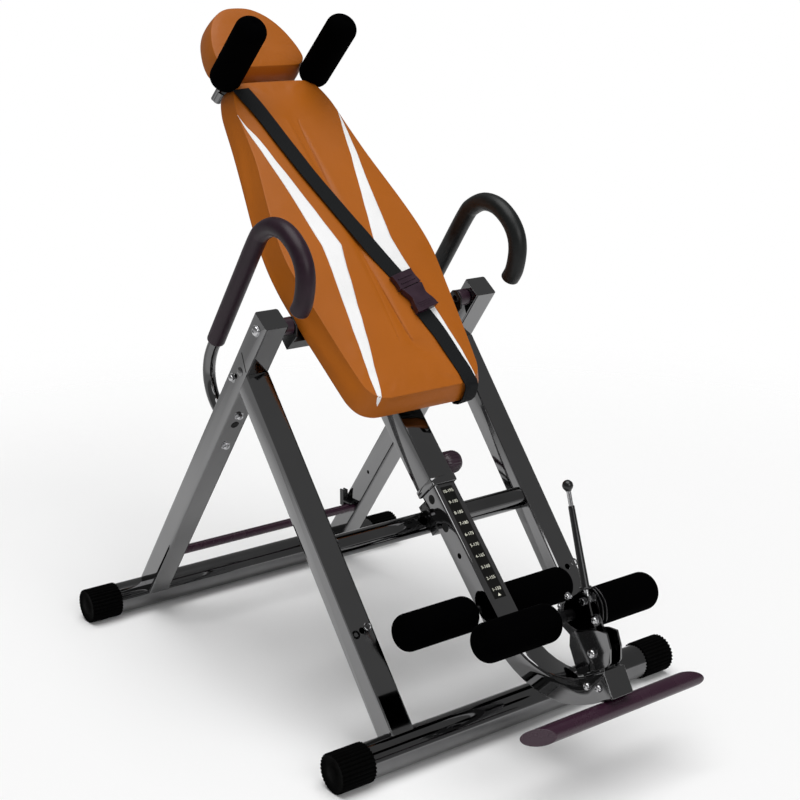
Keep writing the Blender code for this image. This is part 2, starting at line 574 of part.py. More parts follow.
# -------------------------------------------------------------- foot tube
foot = [yz(BED, INNER_TOP, INNER_N), yz(BED, BEND_S, INNER_N)]
for i in range(1, 11):
    a = math.radians(BEND_DEG * i / 10)
    foot.append(yz(BED, BEND_S - BEND_R * math.sin(a), INNER_N + BEND_R * (1 - math.cos(a))))
a = math.radians(BEND_DEG)
end_s = BEND_S - BEND_R * math.sin(a) - BEND_TAIL * math.cos(a)
end_n = INNER_N + BEND_R * (1 - math.cos(a)) + BEND_TAIL * math.sin(a)
foot.append(yz(BED, end_s, end_n))
tube = add("foot_tube", sweep_mesh("foot_tube", foot, rect_section(INNER_W, INNER_D, 0.003),
                                   rect_section(INNER_W - 2 * INNER_WALL, INNER_D - 2 * INNER_WALL, 0.0015), True),
           mat="leg_metal")
rear_axle = (0, REAR_AXLE_S, REAR_AXLE_N)
for i in range(-1, 4):
    cut_rod(tube, 0.0055, (0, PIN_S - 0.0600 * i, INNER_N), -0.035, 0.035, frame=BED, steps=16)
# FOOT: local frame at the tube's end, Y running back into it, Z towards its top
FOOT = tilt(90 - BED_LEAN - BEND_DEG, *yz(BED, end_s, end_n))

bar = add("foot_bar", lathe_mesh("foot_bar", [(-FOOT_BAR_HALF, 0), (-FOOT_BAR_HALF, FOOT_BAR_R), (FOOT_BAR_HALF, FOOT_BAR_R),
                                              (FOOT_BAR_HALF, 0)], steps=32), mat="purple")
bar_c = Vector((0, end_s, end_n)) + 0.0253 * Vector((0, math.cos(a), -math.sin(a))) + \
    (INNER_D / 2 + FOOT_BAR_R + GAP) * Vector((0, -math.sin(a), -math.cos(a)))
bar_w = BED @ bar_c
bar.matrix_world = Matrix.Translation(bar_w)
# both ends are cut on the slant, parallel to each other
for side, k in SIDES:
    run = FOOT_BAR_CUT / (2 * FOOT_BAR_R)
    near, far = FOOT_BAR_HALF - FOOT_BAR_CUT - 0.01 * run, FOOT_BAR_HALF + 0.01 * run
    wedge = [(near, -FOOT_BAR_R - 0.01), (near + 0.2, -FOOT_BAR_R - 0.01), (far + 0.2, FOOT_BAR_R + 0.01),
             (far, FOOT_BAR_R + 0.01)]
    boolean(bar, add("wedge_cut", prism_mesh("wedge", [(k * u, -k * v) for u, v in wedge], -0.03, 0.03),
                     Matrix.Translation(bar_w), cutter=True))

# rear axle and rollers
collar_r = 0.0105
axle = [(-0.176, 0), (-0.176, AXLE_R), (-0.0306, AXLE_R), (-0.0306, collar_r), (-0.0256, collar_r), (-0.0256, AXLE_R),
        (0.0256, AXLE_R), (0.0256, collar_r), (0.0306, collar_r), (0.0306, AXLE_R), (0.176, AXLE_R), (0.176, 0)]


def roller_profile(k):
    c = 0.016
    lo, hi = ROLLER_IN, ROLLER_OUT
    foam = [(lo, AXLE_R + 0.0006), (lo, ROLLER_R - c)]
    foam += [(lo + c - c * math.cos(t), ROLLER_R - c + c * math.sin(t)) for t in (0.5, 1.0, 1.5707963)]
    foam += [(hi - c + c * math.cos(t), ROLLER_R - c + c * math.sin(t)) for t in (1.5707963, 1.0, 0.5, 0.0)]
    foam += [(hi, 0), (0.1775, 0), (0.1775, AXLE_R + 0.0006)]
    return [(k * t, r) for t, r in foam]


add("rear_axle", lathe_mesh("axle", axle, rear_axle, steps=20), BED, "bright_metal")
for side, k in SIDES:
    add("rear_roller_" + side, lathe_mesh("roller", roller_profile(k), rear_axle, steps=28), BED, "foam")

# ------------------------------------------------------------ ankle clamp
py, pz = CLAMP_PIVOT
tube_top = INNER_D / 2 + GAP
base = add("clamp_bracket", box_mesh("base", (-0.0240, 0.0040, tube_top), (0.0240, 0.0500, tube_top + 0.004)), FOOT,
           "black_metal")
# side plate outline in world (Y, Z), standing on the tube
hexagon = [(-0.6705, 0.2300), (-0.6695, 0.2545), (-0.6595, 0.2795), (-0.6380, 0.2775), (-0.5880, 0.2605), (-0.5720, 0.2485),
           (-0.5720, 0.2255)]
local = [FOOT.inverted() @ Vector((0, y, z)) for y, z in hexagon]
cheek = [(0.0045, tube_top)] + [(v.y, v.z) for v in local] + [(0.0760, tube_top + 0.0050), (0.0500, tube_top)]
for side, k in SIDES:
    lo, hi = sorted((k * 0.0105, k * 0.0140))
    join_mesh(base, prism_mesh("cheek", cheek, lo, hi, axis="x"), FOOT)
cut_rod(base, 0.0053, (0, py, pz), -0.05, 0.05)
bolt = [(-0.0218, 0), (-0.0212, 0.0040), (-0.0190, 0.0078), (-0.0165, 0.0090), (-0.0143, 0.0090), (-0.0143, 0.0050),
        (0.0143, 0.0050), (0.0143, 0.0088), (0.0200, 0.0088), (0.0200, 0)]
add("clamp_pivot_bolt", lathe_mesh("bolt", bolt, (0, py, pz), steps=20), mat="bright_metal")

ay, az = FRONT_AXLE
ly, lz = LEVER_PIVOT
arm_side = [(py - 0.012, pz - 0.006), (py - 0.004, pz - 0.013), (py + 0.010, pz - 0.012), (ay + 0.004, az - 0.0165),
            (ay + 0.0150, az - 0.004), (ay + 0.0150, az + 0.010), (ay - 0.002, az + 0.030), (ly + 0.020, lz + 0.006),
            (ly + 0.010, lz + 0.013), (ly - 0.010, lz + 0.011), (ly - 0.0155, lz - 0.006), (py - 0.014, pz + 0.012)]
arm = add("clamp_arm", prism_mesh("arm", arm_side, -0.0101, 0.0101, axis="x"), mat="black_metal")
slot = [(py - 0.030, pz - 0.030), (py + 0.020, pz - 0.030), (ay - 0.022, az + 0.016), (ly + 0.040, lz - 0.012),
        (ly + 0.040, lz + 0.030), (ly - 0.040, lz + 0.030), (py - 0.040, pz + 0.030)]
boolean(arm, add("arm_cut", prism_mesh("cut", slot, -0.0068, 0.0068, axis="x"), cutter=True))
cut_rod(arm, 0.0053, (0, py, pz), -0.05, 0.05)
cut_rod(arm, AXLE_R + GAP, (0, ay, az), -0.05, 0.05)
cut_rod(arm, 0.0040, (0, ly, lz), -0.05, 0.05)
front_axle = [(-0.176, 0), (-0.176, AXLE_R), (-0.0306, AXLE_R), (-0.0306, collar_r), (-0.0105, collar_r),
              (-0.0105, AXLE_R), (0.0105, AXLE_R), (0.0105, collar_r), (0.0306, collar_r), (0.0306, AXLE_R),
              (0.176, AXLE_R), (0.176, 0)]
add("front_axle", lathe_mesh("axle", front_axle, (0, ay, az), steps=20), mat="bright_metal")
for side, k in SIDES:
    add("front_roller_" + side, lathe_mesh("roller", roller_profile(k), (0, ay, az), steps=28), mat="foam")

# ----------------------------------------------------------------- lever
fy, fz = LEVER_FOOT
ty, tz = LEVER_TOP
lean = math.degrees(math.atan2(tz - fz, ty - fy))
LEVER = Matrix.Translation((0, ly, lz)) @ Matrix.Rotation(math.radians(lean - 90), 4, "X")   # Z up the lever
length = math.hypot(ty - ly, tz - lz)
rod = add("lever_rod", lathe_mesh("rod", [(-0.008, 0), (-0.008, 0.0040), (length - 0.006, 0.0040), (length - 0.006, 0)], axis="z", steps=16),
          LEVER, "bright_metal")
join_mesh(rod, lathe_mesh("eye", [(-0.0062, 0), (-0.0062, 0.0085), (0.0062, 0.0085), (0.0062, 0)], steps=20), LEVER)
cut_rod(rod, 0.0040, (0, 0, 0), -0.03, 0.03, frame=LEVER)
add("lever_pin", lathe_mesh("pin", [(-0.0145, 0), (-0.0145, 0.0065), (-0.0104, 0.0065), (-0.0104, 0.0037), (0.0104, 0.0037),
                                    (0.0104, 0.0065), (0.0145, 0.0065), (0.0145, 0)], (0, ly, lz), steps=16),
    mat="bright_metal")
sleeve_top = length - 0.036
add("lever_sleeve", lathe_mesh("sleeve", [(0.0190, 0.0044), (0.0190, 0.0076), (sleeve_top - 0.002, 0.0055),
                                          (sleeve_top, 0.0050), (sleeve_top, 0.0044)], axis="z", steps=20), LEVER, "plastic")
ball = []
rb = 0.0095
cz = length - 0.0010
for i in range(11):
    t = math.pi * i / 10
    ball.append((cz - rb * math.cos(t), max(rb * math.sin(t), 0.0) if 0 < i < 10 else 0.0))
top = add("lever_ball", lathe_mesh("ball", ball, axis="z", steps=24), LEVER, "plastic")
cut_rod(top, 0.0044, (0, 0, 0), length - 0.02, length - 0.0055, axis="z", frame=LEVER)

# the origin is the middle of the machine's footprint
for ob in list(TABLE.objects) + list(CUTTERS.objects):
    ob.matrix_world = Matrix.Translation((0, ORIGIN_Y, 0)) @ ob.matrix_world
for ob in TABLE.objects:
    for poly in ob.data.polygons:
        poly.use_smooth = False
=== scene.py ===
import json
import math

import bmesh
import bpy
from mathutils import Matrix, Vector, noise
from mathutils.bvhtree import BVHTree

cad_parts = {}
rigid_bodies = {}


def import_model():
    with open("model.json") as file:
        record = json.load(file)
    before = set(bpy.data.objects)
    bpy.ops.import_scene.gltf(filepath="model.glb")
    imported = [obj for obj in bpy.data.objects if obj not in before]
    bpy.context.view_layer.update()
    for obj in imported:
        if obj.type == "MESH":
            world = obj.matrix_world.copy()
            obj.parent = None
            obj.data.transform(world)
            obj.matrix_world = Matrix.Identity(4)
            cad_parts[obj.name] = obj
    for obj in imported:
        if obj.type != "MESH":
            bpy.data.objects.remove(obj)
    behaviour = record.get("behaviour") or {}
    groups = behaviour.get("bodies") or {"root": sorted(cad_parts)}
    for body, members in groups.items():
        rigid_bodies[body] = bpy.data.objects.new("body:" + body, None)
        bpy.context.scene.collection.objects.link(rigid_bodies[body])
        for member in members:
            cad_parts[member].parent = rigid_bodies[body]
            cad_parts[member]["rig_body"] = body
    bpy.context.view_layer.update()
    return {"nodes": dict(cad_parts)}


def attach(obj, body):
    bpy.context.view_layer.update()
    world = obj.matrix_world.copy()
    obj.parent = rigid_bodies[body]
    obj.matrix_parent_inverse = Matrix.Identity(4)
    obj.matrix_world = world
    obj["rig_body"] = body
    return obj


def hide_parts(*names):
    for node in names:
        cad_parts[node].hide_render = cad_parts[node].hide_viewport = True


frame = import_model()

NODES = frame["nodes"]
SIDES = (("left", -1), ("right", 1))
OY, PIVOT_H = 0.0784, 0.7132


# ------------------------------------------------------------------ frames
def tilt(degrees, y=OY, z=PIVOT_H):
    return Matrix.Translation((0, y, z)) @ Matrix.Rotation(math.radians(degrees), 4, "X")


BED = tilt(90 - 43.44)            # (x, up the bed, out of the cushion)
REAR = tilt(90 + 36.29)           # (x, up the rear leg, towards the front)
WORLD = Matrix.Identity(4)
LEG_X, LEG_W, LEG_D = 0.2492, 0.050, 0.047
INNER_N = -0.0733


# --------------------------------------------------------------- materials
def principled(name, **values):
    m = bpy.data.materials.new(name)
    m.use_nodes = True
    shader = m.node_tree.nodes["Principled BSDF"]
    for key, value in values.items():
        shader.inputs[key.replace("_", " ")].default_value = value
    return m, m.node_tree, shader


def node(tree, kind, links=(), **props):
    n = tree.nodes.new("ShaderNode" + kind)
    for key, value in props.items():
        setattr(n, key, value)
    for key, value in links:
        if isinstance(value, bpy.types.NodeSocket):
            tree.links.new(value, n.inputs[key])
        else:
            n.inputs[key].default_value = value
    return n


def coords(tree, scale=(1, 1, 1), turn=(0, 0, 0)):
    tc = node(tree, "TexCoord")
    return node(tree, "Mapping", [("Vector", tc.outputs["Object"]), ("Scale", scale), ("Rotation", turn)]).outputs[0]


def noise_fac(tree, vector, scale, detail=3.0, rough=0.5):
    return node(tree, "TexNoise", [("Vector", vector), ("Scale", scale), ("Detail", detail),
                                   ("Roughness", rough)]).outputs["Fac"]


def ramp(tree, fac, *stops):
    r = node(tree, "ValToRGB", [("Fac", fac)])
    while len(r.color_ramp.elements) < len(stops):
        r.color_ramp.elements.new(0.5)
    for e, (pos, col) in zip(r.color_ramp.elements, stops):
        e.position, e.color = pos, (*col, 1.0) if len(col) == 3 else col
    return r.outputs["Color"]


def span(tree, fac, lo, hi, start=0.0, end=1.0):
    return node(tree, "MapRange", [("Value", fac), ("From Min", start), ("From Max", end), ("To Min", lo),
                                   ("To Max", hi)]).outputs["Result"]


def bump(tree, shader, height, strength, distance, under=None):
    links = [("Height", height), ("Strength", strength), ("Distance", distance)]
    if under is not None:
        links.append(("Normal", under))
    out = node(tree, "Bump", links).outputs["Normal"]
    tree.links.new(out, shader.inputs["Normal"])
    return out


def mixed(shade, k):
    return tuple(c * k for c in shade)


def paint(name, shade, metal, rough, peel=0.06, coat=0.0, spread=0.10):
    """Sprayed metal: soft tone drift, faint orange peel, rubbed patches."""
    m, t, b = principled(name, Metallic=metal, Coat_Weight=coat, Coat_Roughness=0.12)
    v = coords(t)
    big = noise_fac(t, v, 7.0, 4.0)
    t.links.new(ramp(t, big, (0.3, mixed(shade, 1 - spread)), (0.7, mixed(shade, 1 + spread))), b.inputs["Base Color"])
    rub = noise_fac(t, v, 28.0, 5.0, 0.6)
    t.links.new(span(t, rub, rough * 0.8, rough * 1.25, 0.3, 0.7), b.inputs["Roughness"])
    bump(t, b, noise_fac(t, v, 520.0, 2.0), peel, 0.0004)
    return m


def plated(name, shade, rough, along=(4, 260, 260)):
    """Polished plating with faint draw lines along the tube and a slight haze."""
    m, t, b = principled(name, Metallic=1.0)
    big = noise_fac(t, coords(t), 11.0, 3.0)
    t.links.new(ramp(t, big, (0.3, mixed(shade, 0.9)), (0.7, mixed(shade, 1.1))), b.inputs["Base Color"])
    lines = noise_fac(t, coords(t, along), 1.0, 4.0, 0.6)
    t.links.new(span(t, lines, rough * 0.7, rough * 1.5, 0.3, 0.7), b.inputs["Roughness"])
    bump(t, b, lines, 0.03, 0.0003)
    return m


def foam(name, shade, rough=0.92, cell=1500.0, strength=0.35, sheen=0.0, shine=0.25):
    """Closed-cell foam rubber: tiny pores over a slightly uneven skin."""
    m, t, b = principled(name, Sheen_Weight=sheen, Sheen_Roughness=0.5, Specular_IOR_Level=shine)
    v = coords(t)
    big = noise_fac(t, v, 35.0, 4.0)
    t.links.new(ramp(t, big, (0.3, mixed(shade, 0.8)), (0.7, mixed(shade, 1.25))), b.inputs["Base Color"])
    t.links.new(span(t, big, rough * 0.92, min(rough * 1.06, 1.0), 0.3, 0.7), b.inputs["Roughness"])
    pores = node(t, "TexVoronoi", [("Vector", v), ("Scale", cell), ("Randomness", 1.0)]).outputs["Distance"]
    under = bump(t, b, noise_fac(t, v, 120.0, 3.0), 0.12, 0.0006)
    bump(t, b, pores, strength, 0.00025, under)
    return m


def moulded(name, shade, rough=0.42, grain=900.0, strength=0.10, shine=0.5):
    """Moulded plastic: fine spark texture and a little tone drift."""
    m, t, b = principled(name, Specular_IOR_Level=shine)
    v = coords(t)
    big = noise_fac(t, v, 40.0, 4.0)
    t.links.new(ramp(t, big, (0.3, mixed(shade, 0.85)), (0.7, mixed(shade, 1.18))), b.inputs["Base Color"])
    t.links.new(span(t, big, rough * 0.88, rough * 1.15, 0.3, 0.7), b.inputs["Roughness"])
    bump(t, b, noise_fac(t, v, grain, 2.0), strength, 0.0003)
    return m


def leatherette(name, shade, rough=0.42):
    """Coated upholstery: pebble grain, fine creases, gentle tone drift and handled sheen."""
    m, t, b = principled(name, Specular_IOR_Level=0.22)
    v = coords(t)
    big = noise_fac(t, v, 5.0, 5.0, 0.55)
    cells = node(t, "TexVoronoi", [("Vector", v), ("Scale", 640.0), ("Randomness", 1.0)],
                 feature="DISTANCE_TO_EDGE").outputs["Distance"]
    groove = span(t, cells, 0.0, 1.0, 0.0, 0.16)
    tone = ramp(t, big, (0.3, mixed(shade, 0.93)), (0.7, mixed(shade, 1.06)))
    dark = node(t, "Mix", [("Factor", span(t, groove, 0.16, 0.0)), (6, tone), (7, (*mixed(shade, 0.55), 1.0))],
                data_type="RGBA").outputs[2]
    t.links.new(dark, b.inputs["Base Color"])
    wear = noise_fac(t, v, 16.0, 5.0, 0.6)
    t.links.new(span(t, wear, rough * 0.86, rough * 1.16, 0.3, 0.7), b.inputs["Roughness"])
    under = bump(t, b, noise_fac(t, v, 90.0, 6.0, 0.6), 0.10, 0.0008)
    bump(t, b, groove, 0.16, 0.00035, under)
    return m


def woven(name, shade, turn):
    """Belt webbing: ribs across the strap, threads along it."""
    m, t, b = principled(name, Roughness=0.75, Specular_IOR_Level=0.15)
    v = coords(t, (1, 1, 1), turn)
    ribs = node(t, "TexWave", [("Vector", v), ("Scale", 95.0), ("Distortion", 0.4), ("Detail", 1.0)],
                bands_direction="X").outputs["Fac"]
    threads = node(t, "TexWave", [("Vector", v), ("Scale", 210.0), ("Distortion", 0.6), ("Detail", 1.0)],
                   bands_direction="Y").outputs["Fac"]
    weave = node(t, "Math", [(0, ribs), (1, threads)], operation="MULTIPLY").outputs[0]
    t.links.new(ramp(t, weave, (0.0, mixed(shade, 0.6)), (0.9, mixed(shade, 1.35))), b.inputs["Base Color"])
    bump(t, b, weave, 0.5, 0.0006)
    return m


M = {
    "leg": paint("leg_paint", (0.205, 0.205, 0.207), 1.0, 0.05, 0.006, 0.0, 0.04),
    "bed": paint("bed_paint", (0.185, 0.185, 0.187), 1.0, 0.045, 0.005, 0.0, 0.04),
    "black": paint("black_paint", (0.012, 0.012, 0.013), 0.3, 0.22, 0.05, 0.1),
    "tube": plated("black_chrome", (0.150, 0.150, 0.152), 0.05),
    "bright": plated("bright_chrome", (0.50, 0.50, 0.51), 0.16, (60, 60, 60)),
    "limit": paint("purple_paint", (0.030, 0.0085, 0.021), 0.1, 0.25, 0.04, 0.1),
    "purple": moulded("purple_plastic", (0.022, 0.0065, 0.016), 0.34),
    "plastic": moulded("black_plastic", (0.006, 0.006, 0.0065), 0.25),
    "rubber": moulded("cap_rubber", (0.0008, 0.0008, 0.0008), 0.8, 700.0, 0.2, 0.03),
    "foam": foam("roller_foam", (0.0005, 0.0005, 0.0006), 0.97, 1400.0, 0.12, 0.0, 0.01),
    "grip_l": foam("grip_foam_left", (0.017, 0.0055, 0.0125), 0.42, 1700.0, 0.06, 0.0, 0.3),
    # painted light: the right grip is the same purple foam as the left, tinted grey-green for how light falls on it
    "grip_r_painted_light": foam("grip_foam_right_painted_light", (0.0065, 0.0075, 0.0075), 0.40, 1700.0, 0.06, 0.0, 0.3),
    "hide": leatherette("tan_leatherette", (0.405, 0.110, 0.0070)),
    "white": leatherette("white_leatherette", (0.93, 0.93, 0.93), 0.40),
    "board": paint("painted_board", (0.012, 0.012, 0.012), 0.0, 0.6, 0.2),
    "belt": woven("belt_webbing", (0.0085, 0.0095, 0.0105), (0, 0, math.radians(20))),
    "label": moulded("label_black", (0.0045, 0.0045, 0.004), 0.5, 400.0, 0.03, 0.1),
    "ink": moulded("label_ink", (0.78, 0.78, 0.66), 0.45, 400.0, 0.02),
    "hole": moulded("hole_dark", (0.002, 0.002, 0.002), 0.8),
}


# ------------------------------------------------------------------ pieces
def piece(name, mesh, body, key, at=WORLD, replaces=(), edge=0.0, smooth=38.0, segments=2):
    """Finished object: mesh placed in the frame, smoothed, edge-rounded, painted and riding on a body."""
    if isinstance(mesh, bmesh.types.BMesh):
        bmesh.ops.recalc_face_normals(mesh, faces=mesh.faces)
        data = bpy.data.meshes.new(name)
        mesh.to_mesh(data)
        mesh.free()
        mesh = data
    mesh.transform(at)
    for p in mesh.polygons:
        p.use_smooth = True
    mesh.set_sharp_from_angle(angle=math.radians(smooth))
    mesh.materials.clear()
    mesh.materials.append(M[key])
    ob = bpy.data.objects.new(name, mesh)
    bpy.context.scene.collection.objects.link(ob)
    if edge:
        mod = ob.modifiers.new("edge", "BEVEL")
        mod.width, mod.segments, mod.limit_method, mod.angle_limit = edge, segments, "ANGLE", math.radians(40)
        mod.use_clamp_overlap = True
        mod.harden_normals = True
    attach(ob, body)
    if replaces:
        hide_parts(*replaces)
    return ob


def refine(name, key, edge=0.0007):
    """A CAD node with merged faces, smooth shading and rounded edges."""
    src = NODES[name]
    bm = bmesh.new()
    bm.from_mesh(src.data)
    bmesh.ops.remove_doubles(bm, verts=bm.verts, dist=2e-6)
    bmesh.ops.dissolve_limit(bm, angle_limit=math.radians(0.6), verts=bm.verts, edges=bm.edges)
    return piece(name + "_look", bm, src["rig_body"], key, replaces=[name], edge=edge)


def lathe(profile, centre=(0, 0, 0), axis="x", steps=56):
    """Closed (position, radius) profile turned about a local axis."""
    bm = bmesh.new()
    rings = []
    for t, r in profile:
        ring = []
        for i in range(steps if r > 1e-7 else 1):
            a = 2 * math.pi * i / steps
            u, v = r * math.cos(a), r * math.sin(a)
            p = {"x": (t, u, v), "y": (u, t, v), "z": (u, v, t)}[axis]
            ring.append(bm.verts.new([p[k] + centre[k] for k in range(3)]))
        rings.append(ring)
    closed = len(rings[0]) > 1 or len(rings[-1]) > 1
    pairs = list(zip(rings, rings[1:])) + ([(rings[-1], rings[0])] if closed else [])
    for a, b in pairs:
        for i in range(steps):
            j = (i + 1) % steps
            if len(a) == 1 and len(b) == 1:
                continue
            quad = [a[i % len(a)], a[j % len(a)], b[j % len(b)], b[i % len(b)]]
            quad = list(dict.fromkeys(quad))
            if len(quad) > 2:
                bm.faces.new(quad)
    return bm


def prism(outline, lo, hi, axis="z"):
    order = {"z": lambda a, b, c: (a, b, c), "x": lambda a, b, c: (c, a, b)}[axis]
    bm = bmesh.new()
    rings = [[bm.verts.new(order(a, b, c)) for a, b in outline] for c in (lo, hi)]
    for i in range(len(outline)):
        j = (i + 1) % len(outline)
        bm.faces.new((rings[0][i], rings[0][j], rings[1][j], rings[1][i]))
    bm.faces.new(rings[0])
    bm.faces.new(rings[1])
    return bm


def block(lo, hi):
    return prism([(lo[0], lo[1]), (hi[0], lo[1]), (hi[0], hi[1]), (lo[0], hi[1])], lo[2], hi[2])


def merged(*parts):
    out = bmesh.new()
    for part in parts:
        data = bpy.data.meshes.new("part")
        part.to_mesh(data)
        part.free()
        out.from_mesh(data)
        bpy.data.meshes.remove(data)
    return out


def spline(points, per=8):
    """Catmull-Rom curve through the points, evenly fine."""
    pts = [Vector(p) for p in points]
    ext = [pts[0] * 2 - pts[1]] + pts + [pts[-1] * 2 - pts[-2]]
    out = []
    for i in range(1, len(ext) - 2):
        p0, p1, p2, p3 = ext[i - 1:i + 3]
        for k in range(per):
            t = k / per
            out.append(0.5 * (2 * p1 + (p2 - p0) * t + (2 * p0 - 5 * p1 + 4 * p2 - p3) * t * t
                              + (3 * p1 - p0 - 3 * p2 + p3) * t ** 3))
    return out + [pts[-1]]


def sweep(path, radius, steps=32, rounding=0.0):
    """Round bar along a path of world points, its ends rounded over `rounding`."""
    path = [Vector(p) for p in path]
    radii = [radius] * len(path)
    if rounding:
        for end in (0, -1):
            tip = path[end]
            inward = (path[1] - path[0] if end == 0 else path[-2] - path[-1]).normalized()
            arc = [(rounding * (1 - math.cos(a)), radius - rounding * (1 - math.sin(a)))
                   for a in (0.0, 0.35, 0.7, 1.05, 1.4)]
            keep = [(p, r) for p, r in zip(path, radii) if (p - tip).length > rounding * 1.2]
            caps = [(tip + inward * d, r) for d, r in arc]
            keep = caps + keep if end == 0 else keep + caps[::-1]
            path, radii = [p for p, r in keep], [r for p, r in keep]
    bm = bmesh.new()
    rings = []
    side = None
    for i, p in enumerate(path):
        d = (path[min(i + 1, len(path) - 1)] - path[max(i - 1, 0)]).normalized()
        side = d.orthogonal() if side is None else (side - d * side.dot(d))
        side.normalize()
        up = d.cross(side)
        rings.append([bm.verts.new(p + (side * math.cos(a) + up * math.sin(a)) * radii[i])
                      for a in (2 * math.pi * k / steps for k in range(steps))])
    for a, b in zip(rings, rings[1:]):
        for i in range(steps):
            j = (i + 1) % steps
            bm.faces.new((a[i], a[j], b[j], b[i]))
    bm.faces.new(rings[0])
    bm.faces.new(rings[-1])
    return bm


def dome_nut(at, radius, height, steps=28, flange=1.35):
    """Acorn nut standing on local z = 0: washer, hexagon and dome."""
    hexa = [(radius * 1.04 * math.cos(math.pi / 3 * i), radius * 1.04 * math.sin(math.pi / 3 * i)) for i in range(6)]
    washer = lathe([(0, 0), (0, radius * flange), (height * 0.10, radius * flange), (height * 0.12, 0)], axis="z", steps=steps)
    nut = prism(hexa, height * 0.12, height * 0.50)
    dome = [(height * 0.5, 0), (height * 0.5, radius * 0.92)]
    dome += [(height * (0.5 + 0.5 * math.sin(a)), radius * 0.92 * math.cos(a)) for a in (0.25, 0.5, 0.8, 1.1, 1.35)]
    dome += [(height, 0)]
    out = merged(washer, nut, lathe(dome, axis="z", steps=steps))
    out.transform(at)
    return out


def bolt_head(at, radius, height, steps=28):
    """Smooth mushroom head with a small round socket ring."""
    prof = [(0, 0), (0, radius)]
    prof += [(height * (0.25 + 0.75 * math.sin(a)), radius * math.cos(a) ** 0.8) for a in (0.15, 0.45, 0.75, 1.0, 1.25)]
    prof += [(height, radius * 0.28), (height * 0.72, radius * 0.26), (height * 0.72, 0)]
    out = lathe(prof, axis="z", steps=steps)
    out.transform(at)
    return out


# ------------------------------------------------------- painted CAD metal
for side, k in SIDES:
    for n in ("rear_leg_", "front_leg_"):
        refine(n + side, "leg", 0.0012)
    refine("pivot_hub_" + side, "purple", 0.0006)
for n, key, edge in (("rear_floor_tube", "tube", 0.0004), ("front_floor_tube", "tube", 0.0004),
                     ("front_cross_tube", "tube", 0.0004), ("stop_bracket", "black", 0.0008),
                     ("stop_bumper", "rubber", 0.001), ("limit_bar", "limit", 0.0008), ("limit_bar_clip", "black", 0.0006),
                     ("bed_tube", "bed", 0.0005), ("tube_collar", "bed", 0.0006), ("pivot_crossbar", "black", 0.0008),
                     ("backrest_board", "board", 0.001), ("headrest_bracket", "black", 0.0008),
                     ("shoulder_frame", "bed", 0.0008), ("height_pin", "bright", 0.0003), ("foot_tube", "bed", 0.0004),
                     ("foot_bar", "limit", 0.0012), ("rear_axle", "black", 0.0005), ("clamp_bracket", "bed", 0.0006),
                     ("clamp_arm", "bed", 0.0007), ("front_axle", "plastic", 0.0005), ("lever_pin", "bright", 0.0004),
                     ("lever_rod", "bright", 0.0004)):
    refine(n, key, edge)


# ------------------------------------------------------------ rubber feet
def foot_cap(name, k, half, y):
    cap_r, length, bore, ribs, per = 0.0361, 0.0693, 0.0327, 30, 12
    def ring(x, drop, teeth=1.0):
        out = []
        for i in range(ribs * per):
            a = 2 * math.pi * i / (ribs * per)
            u = abs((i % per) / per - 0.5) * 2            # 1 on a rib's middle, 0 in the valley
            r = cap_r - drop - 0.0029 * teeth * (1 - min(1.0, u * 1.35)) ** 0.8
            out.append(Vector((k * x, y + r * math.sin(a), cap_r - r * math.cos(a))))
        return out
    x0, x1 = half - length, half
    loops = [ring(x0 + 0.0003, 0.0004), ring(x0 + 0.0012, 0.0), ring(x1 - 0.0020, 0.0), ring(x1 - 0.0006, 0.0003),
             ring(x1, 0.0010), ring(x1, 0.0050, 0.0), ring(x1 - 0.0012, 0.0066, 0.0), ring(x1 - 0.0012, 0.0220, 0.0),
             ring(x1 - 0.0003, 0.0232, 0.0)]
    count = ribs * per
    hole = [[Vector((k * x, y + bore * math.sin(a), cap_r - bore * math.cos(a)))
             for a in (2 * math.pi * i / count for i in range(count))] for x in (x1 - 0.006, x0 + 0.0006)]
    bm = bmesh.new()
    rows = [[bm.verts.new(p) for p in loop] for loop in loops + hole]
    outer, bores = rows[:len(loops)], rows[len(loops):]
    for a, b in list(zip(outer, outer[1:])) + [(bores[0], bores[1]), (bores[1], outer[0])]:
        for i in range(count):
            j = (i + 1) % count
            bm.faces.new((a[i], a[j], b[j], b[i]))
    bm.faces.new(outer[-1])
    bm.faces.new(bores[0])
    return bm


for end, y, half in (("rear", 0.4965, 0.4072), ("front", -0.4040, 0.3979)):
    for side, k in SIDES:
        n = "floor_cap_%s_%s" % (end, side)
        piece(n + "_look", foot_cap(n, k, half, y + OY), "base", "rubber", replaces=[n], smooth=50)

